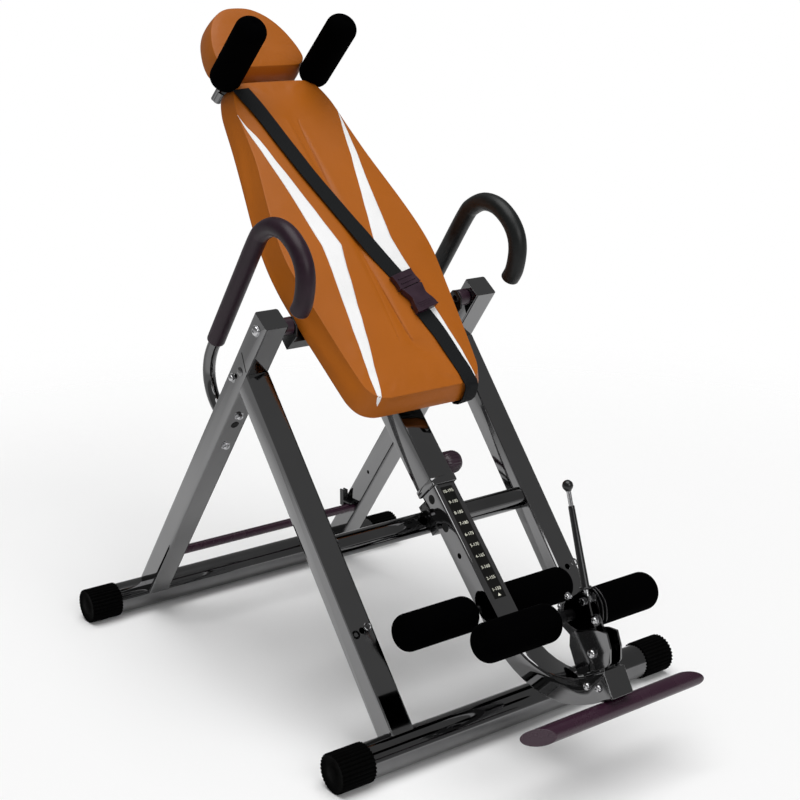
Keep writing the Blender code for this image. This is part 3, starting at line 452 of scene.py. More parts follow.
# ---------------------------------------------------------------- handles
ARCH = [(0.1905, 0.6545), (0.1540, 0.7050), (0.0900, 0.7930), (0.0330, 0.8710), (0.0100, 0.8925), (-0.0260, 0.9060),
        (-0.0660, 0.9015), (-0.1000, 0.8805), (-0.1205, 0.8530), (-0.1260, 0.8220), (-0.1180, 0.7850), (-0.1030, 0.7620)]
HOOK = [(0.2030, 0.6370), (0.2140, 0.6150), (0.2195, 0.5880), (0.2155, 0.5600), (0.2010, 0.5330)]
HANDLE_X = 0.2480
back = -LEG_D / 2 - 0.0003
for side, k in SIDES:
    foot = REAR @ Vector((0, -0.2690, -LEG_D / 2 + 0.008))
    low = [(k * HANDLE_X, foot.y, foot.z)] + [(k * HANDLE_X, y + OY, z) for y, z in HOOK[::-1] + ARCH[:3]]
    tube = sweep(spline(low, 6), 0.0125, 40)
    normal = REAR.to_3x3() @ Vector((0, 0, -1))
    bmesh.ops.bisect_plane(tube, geom=tube.verts[:] + tube.edges[:] + tube.faces[:], clear_inner=True,
                           plane_co=REAR @ Vector((0, 0, back - 0.002)), plane_no=normal)
    bmesh.ops.holes_fill(tube, edges=[e for e in tube.edges if e.is_boundary], sides=0)
    c = 0.006
    x0, x1, s0, s1 = k * HANDLE_X - 0.017, k * HANDLE_X + 0.017, -0.3270, -0.2060
    plate_line = []
    for cx, cy, start in ((x1 - c, s1 - c, 0), (x0 + c, s1 - c, 90), (x0 + c, s0 + c, 180), (x1 - c, s0 + c, 270)):
        plate_line += [(cx + c * math.cos(math.radians(start + 15 * i)), cy + c * math.sin(math.radians(start + 15 * i)))
                       for i in range(7)]
    plate = prism(plate_line, back - 0.0045, back)
    plate.transform(REAR)
    foot_at = REAR @ Vector((k * HANDLE_X, -0.2765, back - 0.0045))
    weld = lathe([(0, 0), (0, 0.0175), (0.0016, 0.0160), (0.0048, 0.0135), (0.0052, 0)], axis="z", steps=40)
    weld.transform(Matrix.Translation(foot_at) @ normal.to_track_quat("Z", "Y").to_matrix().to_4x4())
    piece("handle_tube_%s_look" % side, merged(tube, plate), "base", "tube", replaces=["handle_tube_" + side], edge=0.0008)
    grip = sweep(spline([(k * HANDLE_X, y + OY, z) for y, z in ARCH], 10), 0.0181, 48, 0.0042)
    piece("handle_grip_%s_look" % side, grip, "base", "grip_l" if k < 0 else "grip_r_painted_light",
          replaces=["handle_grip_" + side], smooth=60)
    weld.free()

# ------------------------------------------------------- bolts on the legs
for side, k in SIDES:
    face = k * (LEG_X + LEG_W / 2)
    out = Matrix.Rotation(math.radians(90 * k), 4, "Y")
    def on_face(s, n, turn=0.0):
        return REAR @ Matrix.Translation((face, s, n)) @ out @ Matrix.Rotation(turn, 4, "Z")
    pivot = merged(bolt_head(on_face(0, 0), 0.0098, 0.0064),
                   lathe([(k * (abs(face) - 0.001), 0), (k * (abs(face) - 0.001), 0.0118), (k * (abs(face) + 0.0009), 0.0114),
                          (k * (abs(face) + 0.0009), 0)], (0, OY, PIVOT_H), steps=40),
                   lathe([(k * 0.213, 0), (k * 0.213, 0.0058), (k * 0.2745, 0.0058), (k * 0.2745, 0)], (0, OY, PIVOT_H)))
    piece("pivot_bolt_%s_look" % side, pivot, "base", "bright", replaces=["pivot_bolt_" + side])
    joint = merged(dome_nut(on_face(-0.137, -0.0067, 0.3), 0.0068, 0.0085))
    piece("joint_bolt_%s_look" % side, joint, "base", "bright", replaces=["joint_bolt_" + side])
    piece("joint_rivet_" + side, lathe([(0, 0), (0, 0.0090), (0.0008, 0.0090), (0.0022, 0.0078), (0.0034, 0.0050), (0.0038, 0)],
                                       axis="z", steps=40), "base", "leg", on_face(-0.108, 0.0045))
    a, b = Vector((-0.0722, -0.0125)), Vector((-0.0928, 0.0200))
    d = (b - a).normalized() * 0.0012
    line = [(a.x - d.y, a.y + d.x), (a.x + d.y, a.y - d.x), (b.x + d.y, b.y - d.x), (b.x - d.y, b.y + d.x)]
    lo, hi = sorted((face + k * 0.00005, face + k * 0.00025))
    piece("joint_line_" + side, prism(line, lo, hi, "x"), "base", "hole", REAR)
    for s, end in ((-0.2208, "upper"), (-0.3121, "lower")):
        at = REAR @ Matrix.Translation((k * HANDLE_X, s, LEG_D / 2))
        nut = dome_nut(at @ Matrix.Rotation(0.2, 4, "Z"), 0.0070, 0.0086)
        rear_at = REAR @ Matrix.Translation((k * HANDLE_X, s, back - 0.0048)) @ Matrix.Rotation(math.pi, 4, "X")
        head = bolt_head(rear_at, 0.0078, 0.0042)
        piece("handle_bolt_%s_%s_look" % (end, side), merged(nut, head), "base", "bright",
              replaces=["handle_bolt_%s_%s" % (end, side)])


# ---------------------------------------------------------------- rollers
def roller_profile(k, lo, hi, radius, corner, axle, depth):
    prof = [(lo + 0.002, axle), (lo, axle + 0.003), (lo, radius - corner)]
    arc = [math.pi / 2 * i / 9 for i in range(1, 10)]
    prof += [(lo + corner * (1 - math.cos(a)), radius - corner * (1 - math.sin(a))) for a in arc]
    prof += [(hi - corner * (1 - math.cos(a)), radius - corner * (1 - math.sin(a))) for a in arc[::-1]]
    prof += [(hi, radius - corner), (hi, 0.0075), (hi - 0.0012, 0.0062), (hi - 0.0016, 0)]
    prof += [(depth, 0), (depth, axle)]
    return [(k * t, r) for t, r in prof]


REAR_AXLE = BED @ Vector((0, -0.5940, INNER_N - 0.0242 - 0.0060 - 0.0003))
FRONT_AXLE = Vector((0, -0.5510 + OY, 0.2705))
for side, k in SIDES:
    for end, c, body in (("rear", REAR_AXLE, "foot_tube"), ("front", FRONT_AXLE, "ankle_clamp")):
        n = "%s_roller_%s" % (end, side)
        prof = roller_profile(k, 0.0310, 0.2030, 0.0345, 0.0225, 0.0066, 0.1775)
        ob = piece(n + "_look", lathe(prof, c, steps=96), body, "foam", replaces=[n], smooth=60)


# --------------------------------------------------------------- cushions
def even(outline, count):
    """Parameters of equally spaced points along a closed outline."""
    total = [0.0]
    for p, q in zip(outline, outline[1:] + outline[:1]):
        total.append(total[-1] + (q - p).length)
    out, j = [], 0
    for i in range(count):
        want = total[-1] * i / count
        while total[j + 1] < want:
            j += 1
        out.append(j + (want - total[j]) / (total[j + 1] - total[j]))
    return out


def cushion(name, back, front, low, high, crown, spine, key, replaces, thin=0.0, bulge=0.0016, cap=0.003):
    """Upholstered block from its back outline to the crease of its front, inflated as cloth."""
    count = 144
    marks = even(back, count)
    def at(line, m):
        j = int(m)
        return line[j].lerp(line[(j + 1) % len(line)], m - j)
    outer, crease = ([at(line, m) for m in marks] for line in (back, front))
    depth = high - low
    def level(s, z):                                 # the pad thins out towards the head
        u = min(1.0, max(0.0, (s - 0.33) / 0.14))
        return z * (1 - thin * u * u * (3 - 2 * u)) if z > 0 else z
    mid = [Vector((0.0, min(max(c.y, spine[0]), spine[1]))) for c in crease]
    bm = bmesh.new()
    rows = []
    def add(points):
        rows.append([bm.verts.new((p.x, p.y, level(p.y, z))) for p, z in points])
    add([(c.lerp(m, 0.10), low) for c, m in zip(outer, mid)])
    add([(c.lerp(m, 0.03), low) for c, m in zip(outer, mid)])
    add([(c.lerp(m, 0.006), low + 0.0002) for c, m in zip(outer, mid)])
    add([(c, low + 0.0018) for c in outer])
    walls = 5
    for i in range(1, walls):
        t = i / walls
        grow = bulge * 4 * t * (1 - t)
        row = []
        for c, f in zip(outer, crease):
            p = c.lerp(f, t)
            row.append((p + (c - f).normalized() * grow, low + 0.0018 + (depth - 0.0048) * t))
        add(row)
    inward = [(m - f).normalized() for f, m in zip(crease, mid)]
    add([(f + n * 0.0002, high - 0.0022) for f, n in zip(crease, inward)])
    add([(f + n * 0.0010, high - 0.0008) for f, n in zip(crease, inward)])
    add([(f + n * 0.0026, high + 0.0001) for f, n in zip(crease, inward)])
    edge_rings = len(rows)
    rings = 12
    for i in range(1, rings + 1):
        u = i / rings
        row = []
        for f, n, m in zip(crease, inward, mid):
            start = f + n * 0.0030
            far = (m - start).length
            p = start.lerp(m, u * 0.93)
            d = far * u
            row.append((p, high + 0.0001 + crown * (1 - math.exp(-d / 0.022)) + 0.0005 * (1 - math.exp(-d / 0.004))))
        add(row)
    for a, b in zip(rows, rows[1:]):
        for i in range(count):
            j = (i + 1) % count
            bm.faces.new((a[i], a[j], b[j], b[i]))
    bm.faces.new(rows[0])
    last = rows[-1]
    bm.faces.new(last)
    bmesh.ops.recalc_face_normals(bm, faces=bm.faces)
    mesh = bpy.data.meshes.new(name)
    bm.to_mesh(mesh)
    bm.free()
    ob = bpy.data.objects.new(name, mesh)
    bpy.context.scene.collection.objects.link(ob)

    def settle():
        dg = bpy.context.evaluated_depsgraph_get()
        new = bpy.data.meshes.new_from_object(ob.evaluated_get(dg))
        ob.modifiers.clear()
        ob.data = new

    start = [v.co.copy() for v in ob.data.vertices]
    pins = ob.vertex_groups.new(name="pins")
    pins.add(list(range(count * 4)), 1.0, "REPLACE")
    cloth = ob.modifiers.new("cloth", "CLOTH")
    c = cloth.settings
    c.quality, c.mass = 2, 0.3
    c.tension_stiffness = c.compression_stiffness = 15
    c.shear_stiffness, c.bending_stiffness = 5, 0.5
    c.use_pressure, c.uniform_pressure_force = True, 3.0
    c.vertex_group_mass = "pins"
    c.effector_weights.gravity = 0
    scene = bpy.context.scene
    for f in range(1, 9):
        scene.frame_set(f)
    settle()
    scene.frame_set(1)
    moves = [v.co - p for v, p in zip(ob.data.vertices, start)]
    moves = [m * min(1.0, cap / max(m.length, 1e-9)) for m in moves]
    for i, (v, p) in enumerate(zip(ob.data.vertices, start)):   # the sewn crease holds its line
        near = abs(i // count - (edge_rings - 2))
        v.co = p + moves[i] * min(1.0, near / 3.0)
    bm = bmesh.new()                                 # even out the middle of the face
    bm.from_mesh(ob.data)
    bm.verts.ensure_lookup_table()
    middle = [v for v in bm.verts if v.index // count > edge_rings + 1]
    for _ in range(25):
        bmesh.ops.smooth_vert(bm, verts=middle, factor=0.5, use_axis_z=True)
    bm.to_mesh(ob.data)
    bm.free()
    mod = ob.modifiers.new("sub", "SUBSURF")
    mod.levels = mod.render_levels = 2
    settle()
    mesh = ob.data.copy()
    bpy.data.objects.remove(ob)
    done = piece(name, mesh, "bed", key, BED, replaces=replaces, smooth=80)
    return done


def mirrored(half):
    return [Vector(p) for p in half] + [Vector((-x, s)) for x, s in reversed(half)]


def rounded(outline, per=5):
    """Closed smooth outline through the points."""
    pts = [Vector((p[0], p[1])) for p in outline]
    count = len(pts)
    out = []
    for i in range(count):
        p0, p1, p2, p3 = (pts[(i + j) % count] for j in (-1, 0, 1, 2))
        for k in range(per):
            t = k / per
            out.append(0.5 * (2 * p1 + (p2 - p0) * t + (2 * p0 - 5 * p1 + 4 * p2 - p3) * t * t
                              + (3 * p1 - p0 - 3 * p2 + p3) * t ** 3))
    return out


PAD_BACK = [(0.070, 0.5560), (0.097, 0.5480), (0.114, 0.5300), (0.124, 0.5050), (0.131, 0.4800), (0.142, 0.4100),
            (0.153, 0.3500), (0.166, 0.2850), (0.178, 0.2250), (0.186, 0.1700), (0.1900, 0.1250), (0.1905, 0.0900),
            (0.1885, 0.0500), (0.1800, -0.0200), (0.1700, -0.0900), (0.1610, -0.1550), (0.1550, -0.1840),
            (0.1400, -0.2060), (0.118, -0.2150), (0.095, -0.2170)]
PAD_FRONT = [(0.060, 0.5450), (0.084, 0.5410), (0.1010, 0.5270), (0.1120, 0.5020), (0.1185, 0.4760), (0.1250, 0.4180),
             (0.1330, 0.3490), (0.1465, 0.2830), (0.159, 0.2230), (0.168, 0.1690), (0.1720, 0.1250), (0.1715, 0.0900),
             (0.167, 0.0500), (0.158, -0.0200), (0.149, -0.0900), (0.1400, -0.1500), (0.1350, -0.1730),
             (0.1220, -0.1920), (0.102, -0.2010), (0.082, -0.2030)]
HEAD_BACK = [(0.020, 0.7450), (0.047, 0.7350), (0.072, 0.7140), (0.092, 0.6820), (0.1040, 0.6460), (0.1085, 0.6170),
             (0.1060, 0.5970), (0.0930, 0.5830), (0.0730, 0.5780)]
HEAD_FRONT = [(0.019, 0.7400), (0.045, 0.7305), (0.069, 0.7100), (0.088, 0.6790), (0.0995, 0.6445), (0.1040, 0.6170),
              (0.1015, 0.6000), (0.0890, 0.5880), (0.0700, 0.5840)]
back_line, front_line = (rounded(mirrored(h), 6) for h in (PAD_BACK, PAD_FRONT))
pad = cushion("backrest_cushion", back_line, front_line, -0.0079, 0.0372, 0.0022, (-0.09, 0.44), "hide",
              ["backrest_pad"], thin=0.13)
head_back, head_front = (rounded(mirrored(h), 6) for h in (HEAD_BACK, HEAD_FRONT))
head = cushion("headrest_cushion", head_back, head_front, -0.0169, 0.0322, 0.0030, (0.640, 0.690), "hide",
               ["headrest_pad"])

pad_bed = pad.data.copy()
pad_bed.transform(BED.inverted())
SKIN = CUSHION = BVHTree.FromPolygons([v.co for v in pad_bed.vertices], [p.vertices[:] for p in pad_bed.polygons])


def skin(x, s):
    """Height of the cushion's front at (x, s)."""
    hit = SKIN.ray_cast(Vector((x, s, 0.2)), Vector((0, 0, -1)))
    return hit[0].z if hit[0] else None


def pressed(x, s, z):
    """True inside the cushion or closer to it than 0.8 mm."""
    near = CUSHION.find_nearest(Vector((x, s, z)))
    gap = Vector((x, s, z)) - near[0]
    return gap.dot(near[1]) < 0.0008 and gap.length < 0.04 or gap.length < 0.0008


for side, k in SIDES:
    n = "shoulder_roller_" + side
    prof = roller_profile(1, 0.0120, 0.1930, 0.0325, 0.0235, 0.0066, 0.1755)
    fine = [prof[0]]
    for (t0, r0), (t1, r1) in zip(prof, prof[1:]):
        steps = max(1, round(abs(t1 - t0) / 0.003)) if r0 > 0.01 and r1 > 0.01 else 1
        fine += [(t0 + (t1 - t0) * i / steps, r0 + (r1 - r0) * i / steps) for i in range(1, steps + 1)]
    bm = lathe(fine, axis="z", steps=96)
    for v in bm.verts:                               # pressed in where it meets the cushion's top corner
        while v.co.xy.length > 0.0085 and v.co.z < 0.060 and pressed(k * 0.107 + v.co.x, 0.5580 + v.co.y, v.co.z):
            v.co.xy *= 0.97
    bm.transform(Matrix.Translation((k * 0.107, 0.5580, 0)))
    ob = piece(n + "_look", bm, "bed", "foam", BED, replaces=[n], smooth=60)


# white inlays that follow the cushion's surface
STRIPE_OUT = [(0.1190, 0.4580), (0.1180, 0.4330), (0.1152, 0.4040), (0.1100, 0.3700), (0.1066, 0.3400), (0.1017, 0.3100),
              (0.0977, 0.2820), (0.0942, 0.2520), (0.0912, 0.2230), (0.0885, 0.1940), (0.0850, 0.1600), (0.0820, 0.1370),
              (0.0840, 0.1090), (0.0867, 0.0820), (0.0905, 0.0540), (0.0940, 0.0270), (0.0970, 0.0000),
              (0.1002, -0.0270), (0.1042, -0.0550), (0.1070, -0.0850), (0.1105, -0.1120), (0.1135, -0.1400),
              (0.1157, -0.1650), (0.1172, -0.1900), (0.1160, -0.2060)]
STRIPE_IN = [(0.1186, 0.4585), (0.1130, 0.4330), (0.1040, 0.4040), (0.0955, 0.3700), (0.0895, 0.3400), (0.0813, 0.3100),
             (0.0743, 0.2800), (0.0673, 0.2500), (0.0595, 0.2200), (0.0530, 0.1900), (0.0453, 0.1600), (0.0388, 0.1320),
             (0.0460, 0.1040), (0.0520, 0.0770), (0.0565, 0.0500), (0.0625, 0.0230), (0.0688, -0.0040),
             (0.0730, -0.0310), (0.0788, -0.0570), (0.0835, -0.0830), (0.0893, -0.1090), (0.0953, -0.1340),
             (0.0995, -0.1600), (0.1052, -0.1850), (0.1120, -0.2060)]


def along(line, s):
    for (x0, s0), (x1, s1) in zip(line, line[1:]):
        if s0 >= s >= s1:
            return x0 + (x1 - x0) * (s0 - s) / (s0 - s1)
    return line[0][0] if s > line[0][1] else line[-1][0]


for side, k in SIDES:
    bm = bmesh.new()
    rows = []
    steps, across = 320, 12
    for i in range(steps + 1):
        s = 0.4655 - (0.4655 + 0.2050) * i / steps
        a, b = along(STRIPE_IN, s), along(STRIPE_OUT, s)
        close = min(1.0, (0.4655 - s) / 0.004 + 0.05, (s + 0.2050) / 0.004 + 0.05)
        mid, half = (a + b) / 2, (b - a) / 2 * close
        row = []
        for j in range(across + 1):
            t = 2 * j / across - 1
            x = k * (mid + half * t)
            z = skin(x, s)
            z = skin(k * mid * 0.98, s) if z is None else z
            lift = 0.00055 * (1 - t ** 8) + 0.00005
            row.append(bm.verts.new((x, s, z + lift)))
        rows.append(row)
    for a, b in zip(rows, rows[1:]):
        for j in range(across):
            bm.faces.new((a[j], a[j + 1], b[j + 1], b[j]))
    inlay = piece("white_inlay_" + side, bm, "bed", "white", BED, smooth=180)
    mod = inlay.modifiers.new("thick", "SOLIDIFY")
    mod.thickness, mod.offset = 0.0005, -1


# ------------------------------------------------------------------- belt
def strap_mesh(left, right, lift, per=40, across=8, tail=()):
    """Webbing between two edge lines in bed coordinates, lying on the cushion; `tail` goes round the corner."""
    def resample(line):
        pts = [p.to_2d() if len(p) > 2 else p for p in spline([(x, s, 0) for x, s in line], 12)]
        total = [0.0]
        for a, b in zip(pts, pts[1:]):
            total.append(total[-1] + (b - a).length)
        out = []
        for i in range(per + 1):
            want, j = total[-1] * i / per, 1
            while j < len(total) - 1 and total[j] < want:
                j += 1
            t = (want - total[j - 1]) / max(total[j] - total[j - 1], 1e-9)
            out.append(pts[j - 1].lerp(pts[j], min(max(t, 0), 1)))
        return out
    la, ra = resample(left), resample(right)
    bm = bmesh.new()
    rows = []
    for i, (a, b) in enumerate(zip(la, ra)):
        z = max(filter(None, (skin(*(a.lerp(b, t))) for t in (0.1, 0.5, 0.9))), default=0.04)
        rows.append([bm.verts.new((*(a.lerp(b, j / across)), z + lift(i / per, j / across))) for j in range(across + 1)])
    for (xa, sa, na), (xb, sb, nb) in tail:
        rows.append([bm.verts.new(Vector((xa, sa, na)).lerp(Vector((xb, sb, nb)), j / across)) for j in range(across + 1)])
    for a, b in zip(rows, rows[1:]):
        for j in range(across):
            bm.faces.new((a[j], a[j + 1], b[j + 1], b[j]))
    return bm


def strap(name, bm, node_name):
    ob = piece(name, bm, "bed", "belt", BED, replaces=[node_name], smooth=60)
    mod = ob.modifiers.new("thick", "SOLIDIFY")
    mod.thickness, mod.offset = 0.0016, 0
    mod = ob.modifiers.new("edge", "BEVEL")
    mod.width, mod.segments, mod.limit_method = 0.0005, 2, "ANGLE"
    return ob


upper = strap_mesh([(-0.1060, 0.5250), (-0.0985, 0.4928), (-0.0890, 0.4618), (-0.0825, 0.4309), (-0.0770, 0.4007),
                    (-0.0707, 0.3702), (-0.0638, 0.3398), (-0.0565, 0.3096), (-0.0480, 0.2793), (-0.0389, 0.2491),
                    (-0.0299, 0.2190), (-0.0205, 0.1889), (-0.0105, 0.1587), (-0.0009, 0.1289), (0.0090, 0.0991),
                    (0.0213, 0.0689), (0.0330, 0.0400)],
                   [(-0.0670, 0.5280), (-0.0576, 0.4901), (-0.0505, 0.4588), (-0.0446, 0.4282), (-0.0388, 0.3974),
                    (-0.0323, 0.3667), (-0.0254, 0.3362), (-0.0183, 0.3058), (-0.0094, 0.2752), (0.0004, 0.2446),
                    (0.0100, 0.2142), (0.0200, 0.1840), (0.0308, 0.1536), (0.0405, 0.1232), (0.0505, 0.0933),
                    (0.0610, 0.0631), (0.0720, 0.0330)],
                   lambda t, w: 0.0020 + 0.0035 * math.sin(math.pi * t) * (0.35 + 0.65 * (1 - w)))
strap("belt_upper_strap", upper, "belt_upper")
lower = strap_mesh([(0.0440, -0.0250), (0.0555, -0.0670), (0.0635, -0.0960), (0.0690, -0.1250), (0.0750, -0.1620),
                    (0.0800, -0.1960)],
                   [(0.0830, -0.0300), (0.0935, -0.0700), (0.0988, -0.0980), (0.1035, -0.1330), (0.1080, -0.1620),
                    (0.1120, -0.1900)],
                   lambda t, w: 0.0022, tail=[
                       ((0.0815, -0.2055, 0.0390), (0.1150, -0.2000, 0.0382)),
                       ((0.0830, -0.2125, 0.0335), (0.1172, -0.2085, 0.0325)),
                       ((0.0845, -0.2190, 0.0180), (0.1200, -0.2160, 0.0170)),
                       ((0.0852, -0.2225, 0.0030), (0.1215, -0.2195, 0.0020)),
                       ((0.0855, -0.2222, -0.0110), (0.1220, -0.2185, -0.0110)),
                       ((0.0850, -0.2140, -0.0225), (0.1210, -0.2080, -0.0225)),
                       ((0.0830, -0.1850, -0.0245), (0.1180, -0.1800, -0.0245))])
strap("belt_lower_strap", lower, "belt_lower")

BUCKLE = BED @ Matrix.Translation((0.0640, 0.0040, 0.0435)) @ Matrix.Rotation(math.radians(13.0), 4, "Z") @ Matrix.Diagonal((1.10, 0.94, 1.05, 1.0))


def curve_line(points, per=5):
    return [(p.x, p.y) for p in rounded(points, per)]


female = curve_line([(-0.0225, -0.0480), (0.0225, -0.0480), (0.0245, -0.0440), (0.0225, -0.0300), (0.0180, -0.0150),
                     (0.0215, 0.0010), (0.0225, 0.0085), (0.0150, 0.0100), (-0.0150, 0.0100), (-0.0225, 0.0085),
                     (-0.0215, 0.0010), (-0.0180, -0.0150), (-0.0225, -0.0300), (-0.0245, -0.0440)], 4)
body = prism(female, 0.0005, 0.0128)
ridges = [block((-0.0150, -0.0400 + 0.0045 * i, 0.0124), (0.0150, -0.0382 + 0.0045 * i, 0.0136)) for i in range(3)]
piece("buckle_body_look", merged(body, *ridges), "bed", "purple", BUCKLE, replaces=["buckle_body"], edge=0.0022, segments=3)
male = curve_line([(-0.0230, 0.0130), (0.0230, 0.0130), (0.0250, 0.0160), (0.0235, 0.0300), (0.0240, 0.0440),
                   (0.0225, 0.0470), (-0.0225, 0.0470), (-0.0240, 0.0440), (-0.0235, 0.0300), (-0.0250, 0.0160)], 4)
prongs = [block((k * 0.0205 - 0.0022, 0.0020, 0.0030), (k * 0.0205 + 0.0022, 0.0150, 0.0100)) for k in (-1, 1)]
piece("buckle_tongue_look", merged(prism(male, 0.0005, 0.0105), block((-0.0170, 0.0220, 0.0100), (0.0170, 0.0245, 0.0120)),
                                   block((-0.0170, 0.0330, 0.0100), (0.0170, 0.0355, 0.0120)), *prongs),
      "bed", "purple", BUCKLE, replaces=["buckle_tongue"], edge=0.0018, segments=3)

# ------------------------------------------------------------------- knob
bm = bmesh.new()
prof = [(0.0300, 0.0051), (0.0300, 0.0135), (0.0312, 0.0150), (0.0350, 0.0192), (0.0400, 0.0217), (0.0450, 0.0224),
        (0.0590, 0.0224), (0.0650, 0.0214), (0.0710, 0.0178), (0.0748, 0.0115), (0.0761, 0.0058), (0.0765, 0.0)]
rows = []
for t, r in prof:
    ring = []
    for i in range(144 if r > 0 else 1):
        a = 2 * math.pi * i / 144
        flute = 0.0009 * (0.5 - 0.5 * math.cos(a * 24)) if 0.036 < t < 0.066 else 0.0
        ring.append(bm.verts.new((t, -0.3140 + 0.004 + (r - flute) * math.cos(a), INNER_N + (r - flute) * math.sin(a))))
    rows.append(ring)
for a, b in zip(rows, rows[1:]):
    for i in range(144):
        j = (i + 1) % 144
        bm.faces.new(list(dict.fromkeys((a[i], a[j], b[j % len(b)], b[i % len(b)]))))
bm.faces.new(rows[0])
piece("height_knob_look", bm, "height_pin", "purple", BED, replaces=["height_knob"], smooth=50)

# ----------------------------------------------------------- height scale
face = INNER_N + 0.0484 / 2
piece("scale_strip", block((-0.0135, -0.5980, face + 0.0001), (0.0135, -0.3640, face + 0.0004)), "foot_tube", "label", BED)


def lettering(text, height, at, frame_of):
    curve = bpy.data.curves.new("text", "FONT")
    curve.body, curve.size, curve.extrude = text, height, 0.0
    curve.align_x, curve.align_y = "CENTER", "CENTER"
    ob = bpy.data.objects.new("text", curve)
    mesh = bpy.data.meshes.new_from_object(ob.evaluated_get(bpy.context.evaluated_depsgraph_get()))
    bpy.data.objects.remove(ob)
    bm = bmesh.new()
    bm.from_mesh(mesh)
    bm.transform(frame_of @ Matrix.Translation(at))
    return bm


marks = []
for i in range(10):
    s = -0.3740 - 0.0229 * i
    curve = bpy.data.curves.new("text", "FONT")
    curve.body, curve.size = "%d-%d" % (10 - i, 195 - 5 * i), 0.0088
    curve.align_x, curve.align_y = "CENTER", "CENTER"
    ob = bpy.data.objects.new("text", curve)
    bpy.context.scene.collection.objects.link(ob)
    bpy.context.view_layer.update()
    mesh = bpy.data.meshes.new_from_object(ob.evaluated_get(bpy.context.evaluated_depsgraph_get()))
    bpy.data.objects.remove(ob)
    bm = bmesh.new()
    bm.from_mesh(mesh)
    bm.transform(Matrix.Translation((0, s, face + 0.00055)))
    marks.append(bm)
arrow = prism([(-0.0035, -0.5940), (0.0035, -0.5940), (0, -0.5880)], face + 0.00045, face + 0.0006)
marks.append(arrow)
piece("scale_marks", merged(*marks), "foot_tube", "ink", BED)

# --------------------------------------------------- foot end and lever
a = math.radians(77)
end_s = -0.635 - 0.200 * math.sin(a) - 0.052 * math.cos(a)
end_n = INNER_N + 0.200 * (1 - math.cos(a)) + 0.052 * math.sin(a)
end = BED @ Vector((0, end_s, end_n))
FOOT = tilt(90 - 43.44 - 77, end.y, end.z)
plug_line = []
for cx, cz, start in ((0.0207, 0.0202, 0), (-0.0207, 0.0202, 90), (-0.0207, -0.0202, 180), (0.0207, -0.0202, 270)):
    plug_line += [(cx + 0.004 * math.cos(math.radians(start + 18 * i)), cz + 0.004 * math.sin(math.radians(start + 18 * i)))
                  for i in range(6)]
plug = prism(plug_line, 0.0003, 0.0036)
plug.transform(Matrix.Rotation(math.radians(90), 4, "X"))
piece("foot_tube_plug", plug, "foot_tube", "bed", FOOT, edge=0.0010)

LEVER_PIVOT, LEVER_FOOT, LEVER_TOP = (-0.5990, 0.3160), (-0.5940, 0.3330), (-0.5420, 0.5070)
lean = math.degrees(math.atan2(LEVER_TOP[1] - LEVER_FOOT[1], LEVER_TOP[0] - LEVER_FOOT[0]))
LEVER = Matrix.Translation((0, LEVER_PIVOT[0] + OY, LEVER_PIVOT[1])) @ Matrix.Rotation(math.radians(lean - 90), 4, "X")
reach = math.hypot(LEVER_TOP[0] - LEVER_PIVOT[0], LEVER_TOP[1] - LEVER_PIVOT[1])
top = reach - 0.036
sleeve = lathe([(0.0190, 0.0044), (0.0190, 0.0076), (0.0225, 0.0080), (0.0240, 0.0072), (top - 0.004, 0.0056),
                (top - 0.001, 0.0054), (top, 0.0046)], axis="z", steps=40)
piece("lever_sleeve_look", sleeve, "clamp_lever", "plastic", LEVER, replaces=["lever_sleeve"])
ball = [(reach - 0.0010 - 0.0097 * math.cos(t), max(0.0, 0.0095 * math.sin(t))) for t in
        (math.pi * i / 24 for i in range(2, 25))]
ball[-1] = (ball[-1][0], 0.0)
ball = [(reach - 0.0098, 0.0044), (reach - 0.0106, 0.0050)] + ball[3:] + [(reach - 0.0050, 0.0), (reach - 0.0050, 0.0044)]
piece("lever_ball_look", lathe(ball, axis="z", steps=48), "clamp_lever", "plastic", LEVER, replaces=["lever_ball"], smooth=50)
bolt_x = -0.0145
nut_at = Matrix.Translation((bolt_x, -0.6285 + OY, 0.2320)) @ Matrix.Rotation(math.radians(-90), 4, "Y")
far_at = Matrix.Translation((-bolt_x, -0.6285 + OY, 0.2320)) @ Matrix.Rotation(math.radians(90), 4, "Y")
piece("clamp_pivot_bolt_look", merged(bolt_head(nut_at, 0.0082, 0.0072), dome_nut(far_at, 0.0070, 0.0080),
                                      lathe([(-0.0145, 0), (-0.0145, 0.0050), (0.0145, 0.0050), (0.0145, 0)],
                                            (0, -0.6285 + OY, 0.2320), steps=32)),
      "foot_tube", "bright", replaces=["clamp_pivot_bolt"])
heads = []
for y, z in ((0.0480, 0.0075), (0.0210, -0.0005)):
    heads.append(bolt_head(FOOT @ Matrix.Translation((-0.02475, y, z)) @ Matrix.Rotation(math.radians(-90), 4, "Y"), 0.0068, 0.0062))
    heads.append(dome_nut(FOOT @ Matrix.Translation((0.02475, y, z)) @ Matrix.Rotation(math.radians(90), 4, "Y"), 0.0062, 0.0075))
piece("foot_bar_bolts", merged(*heads), "foot_tube", "bright")

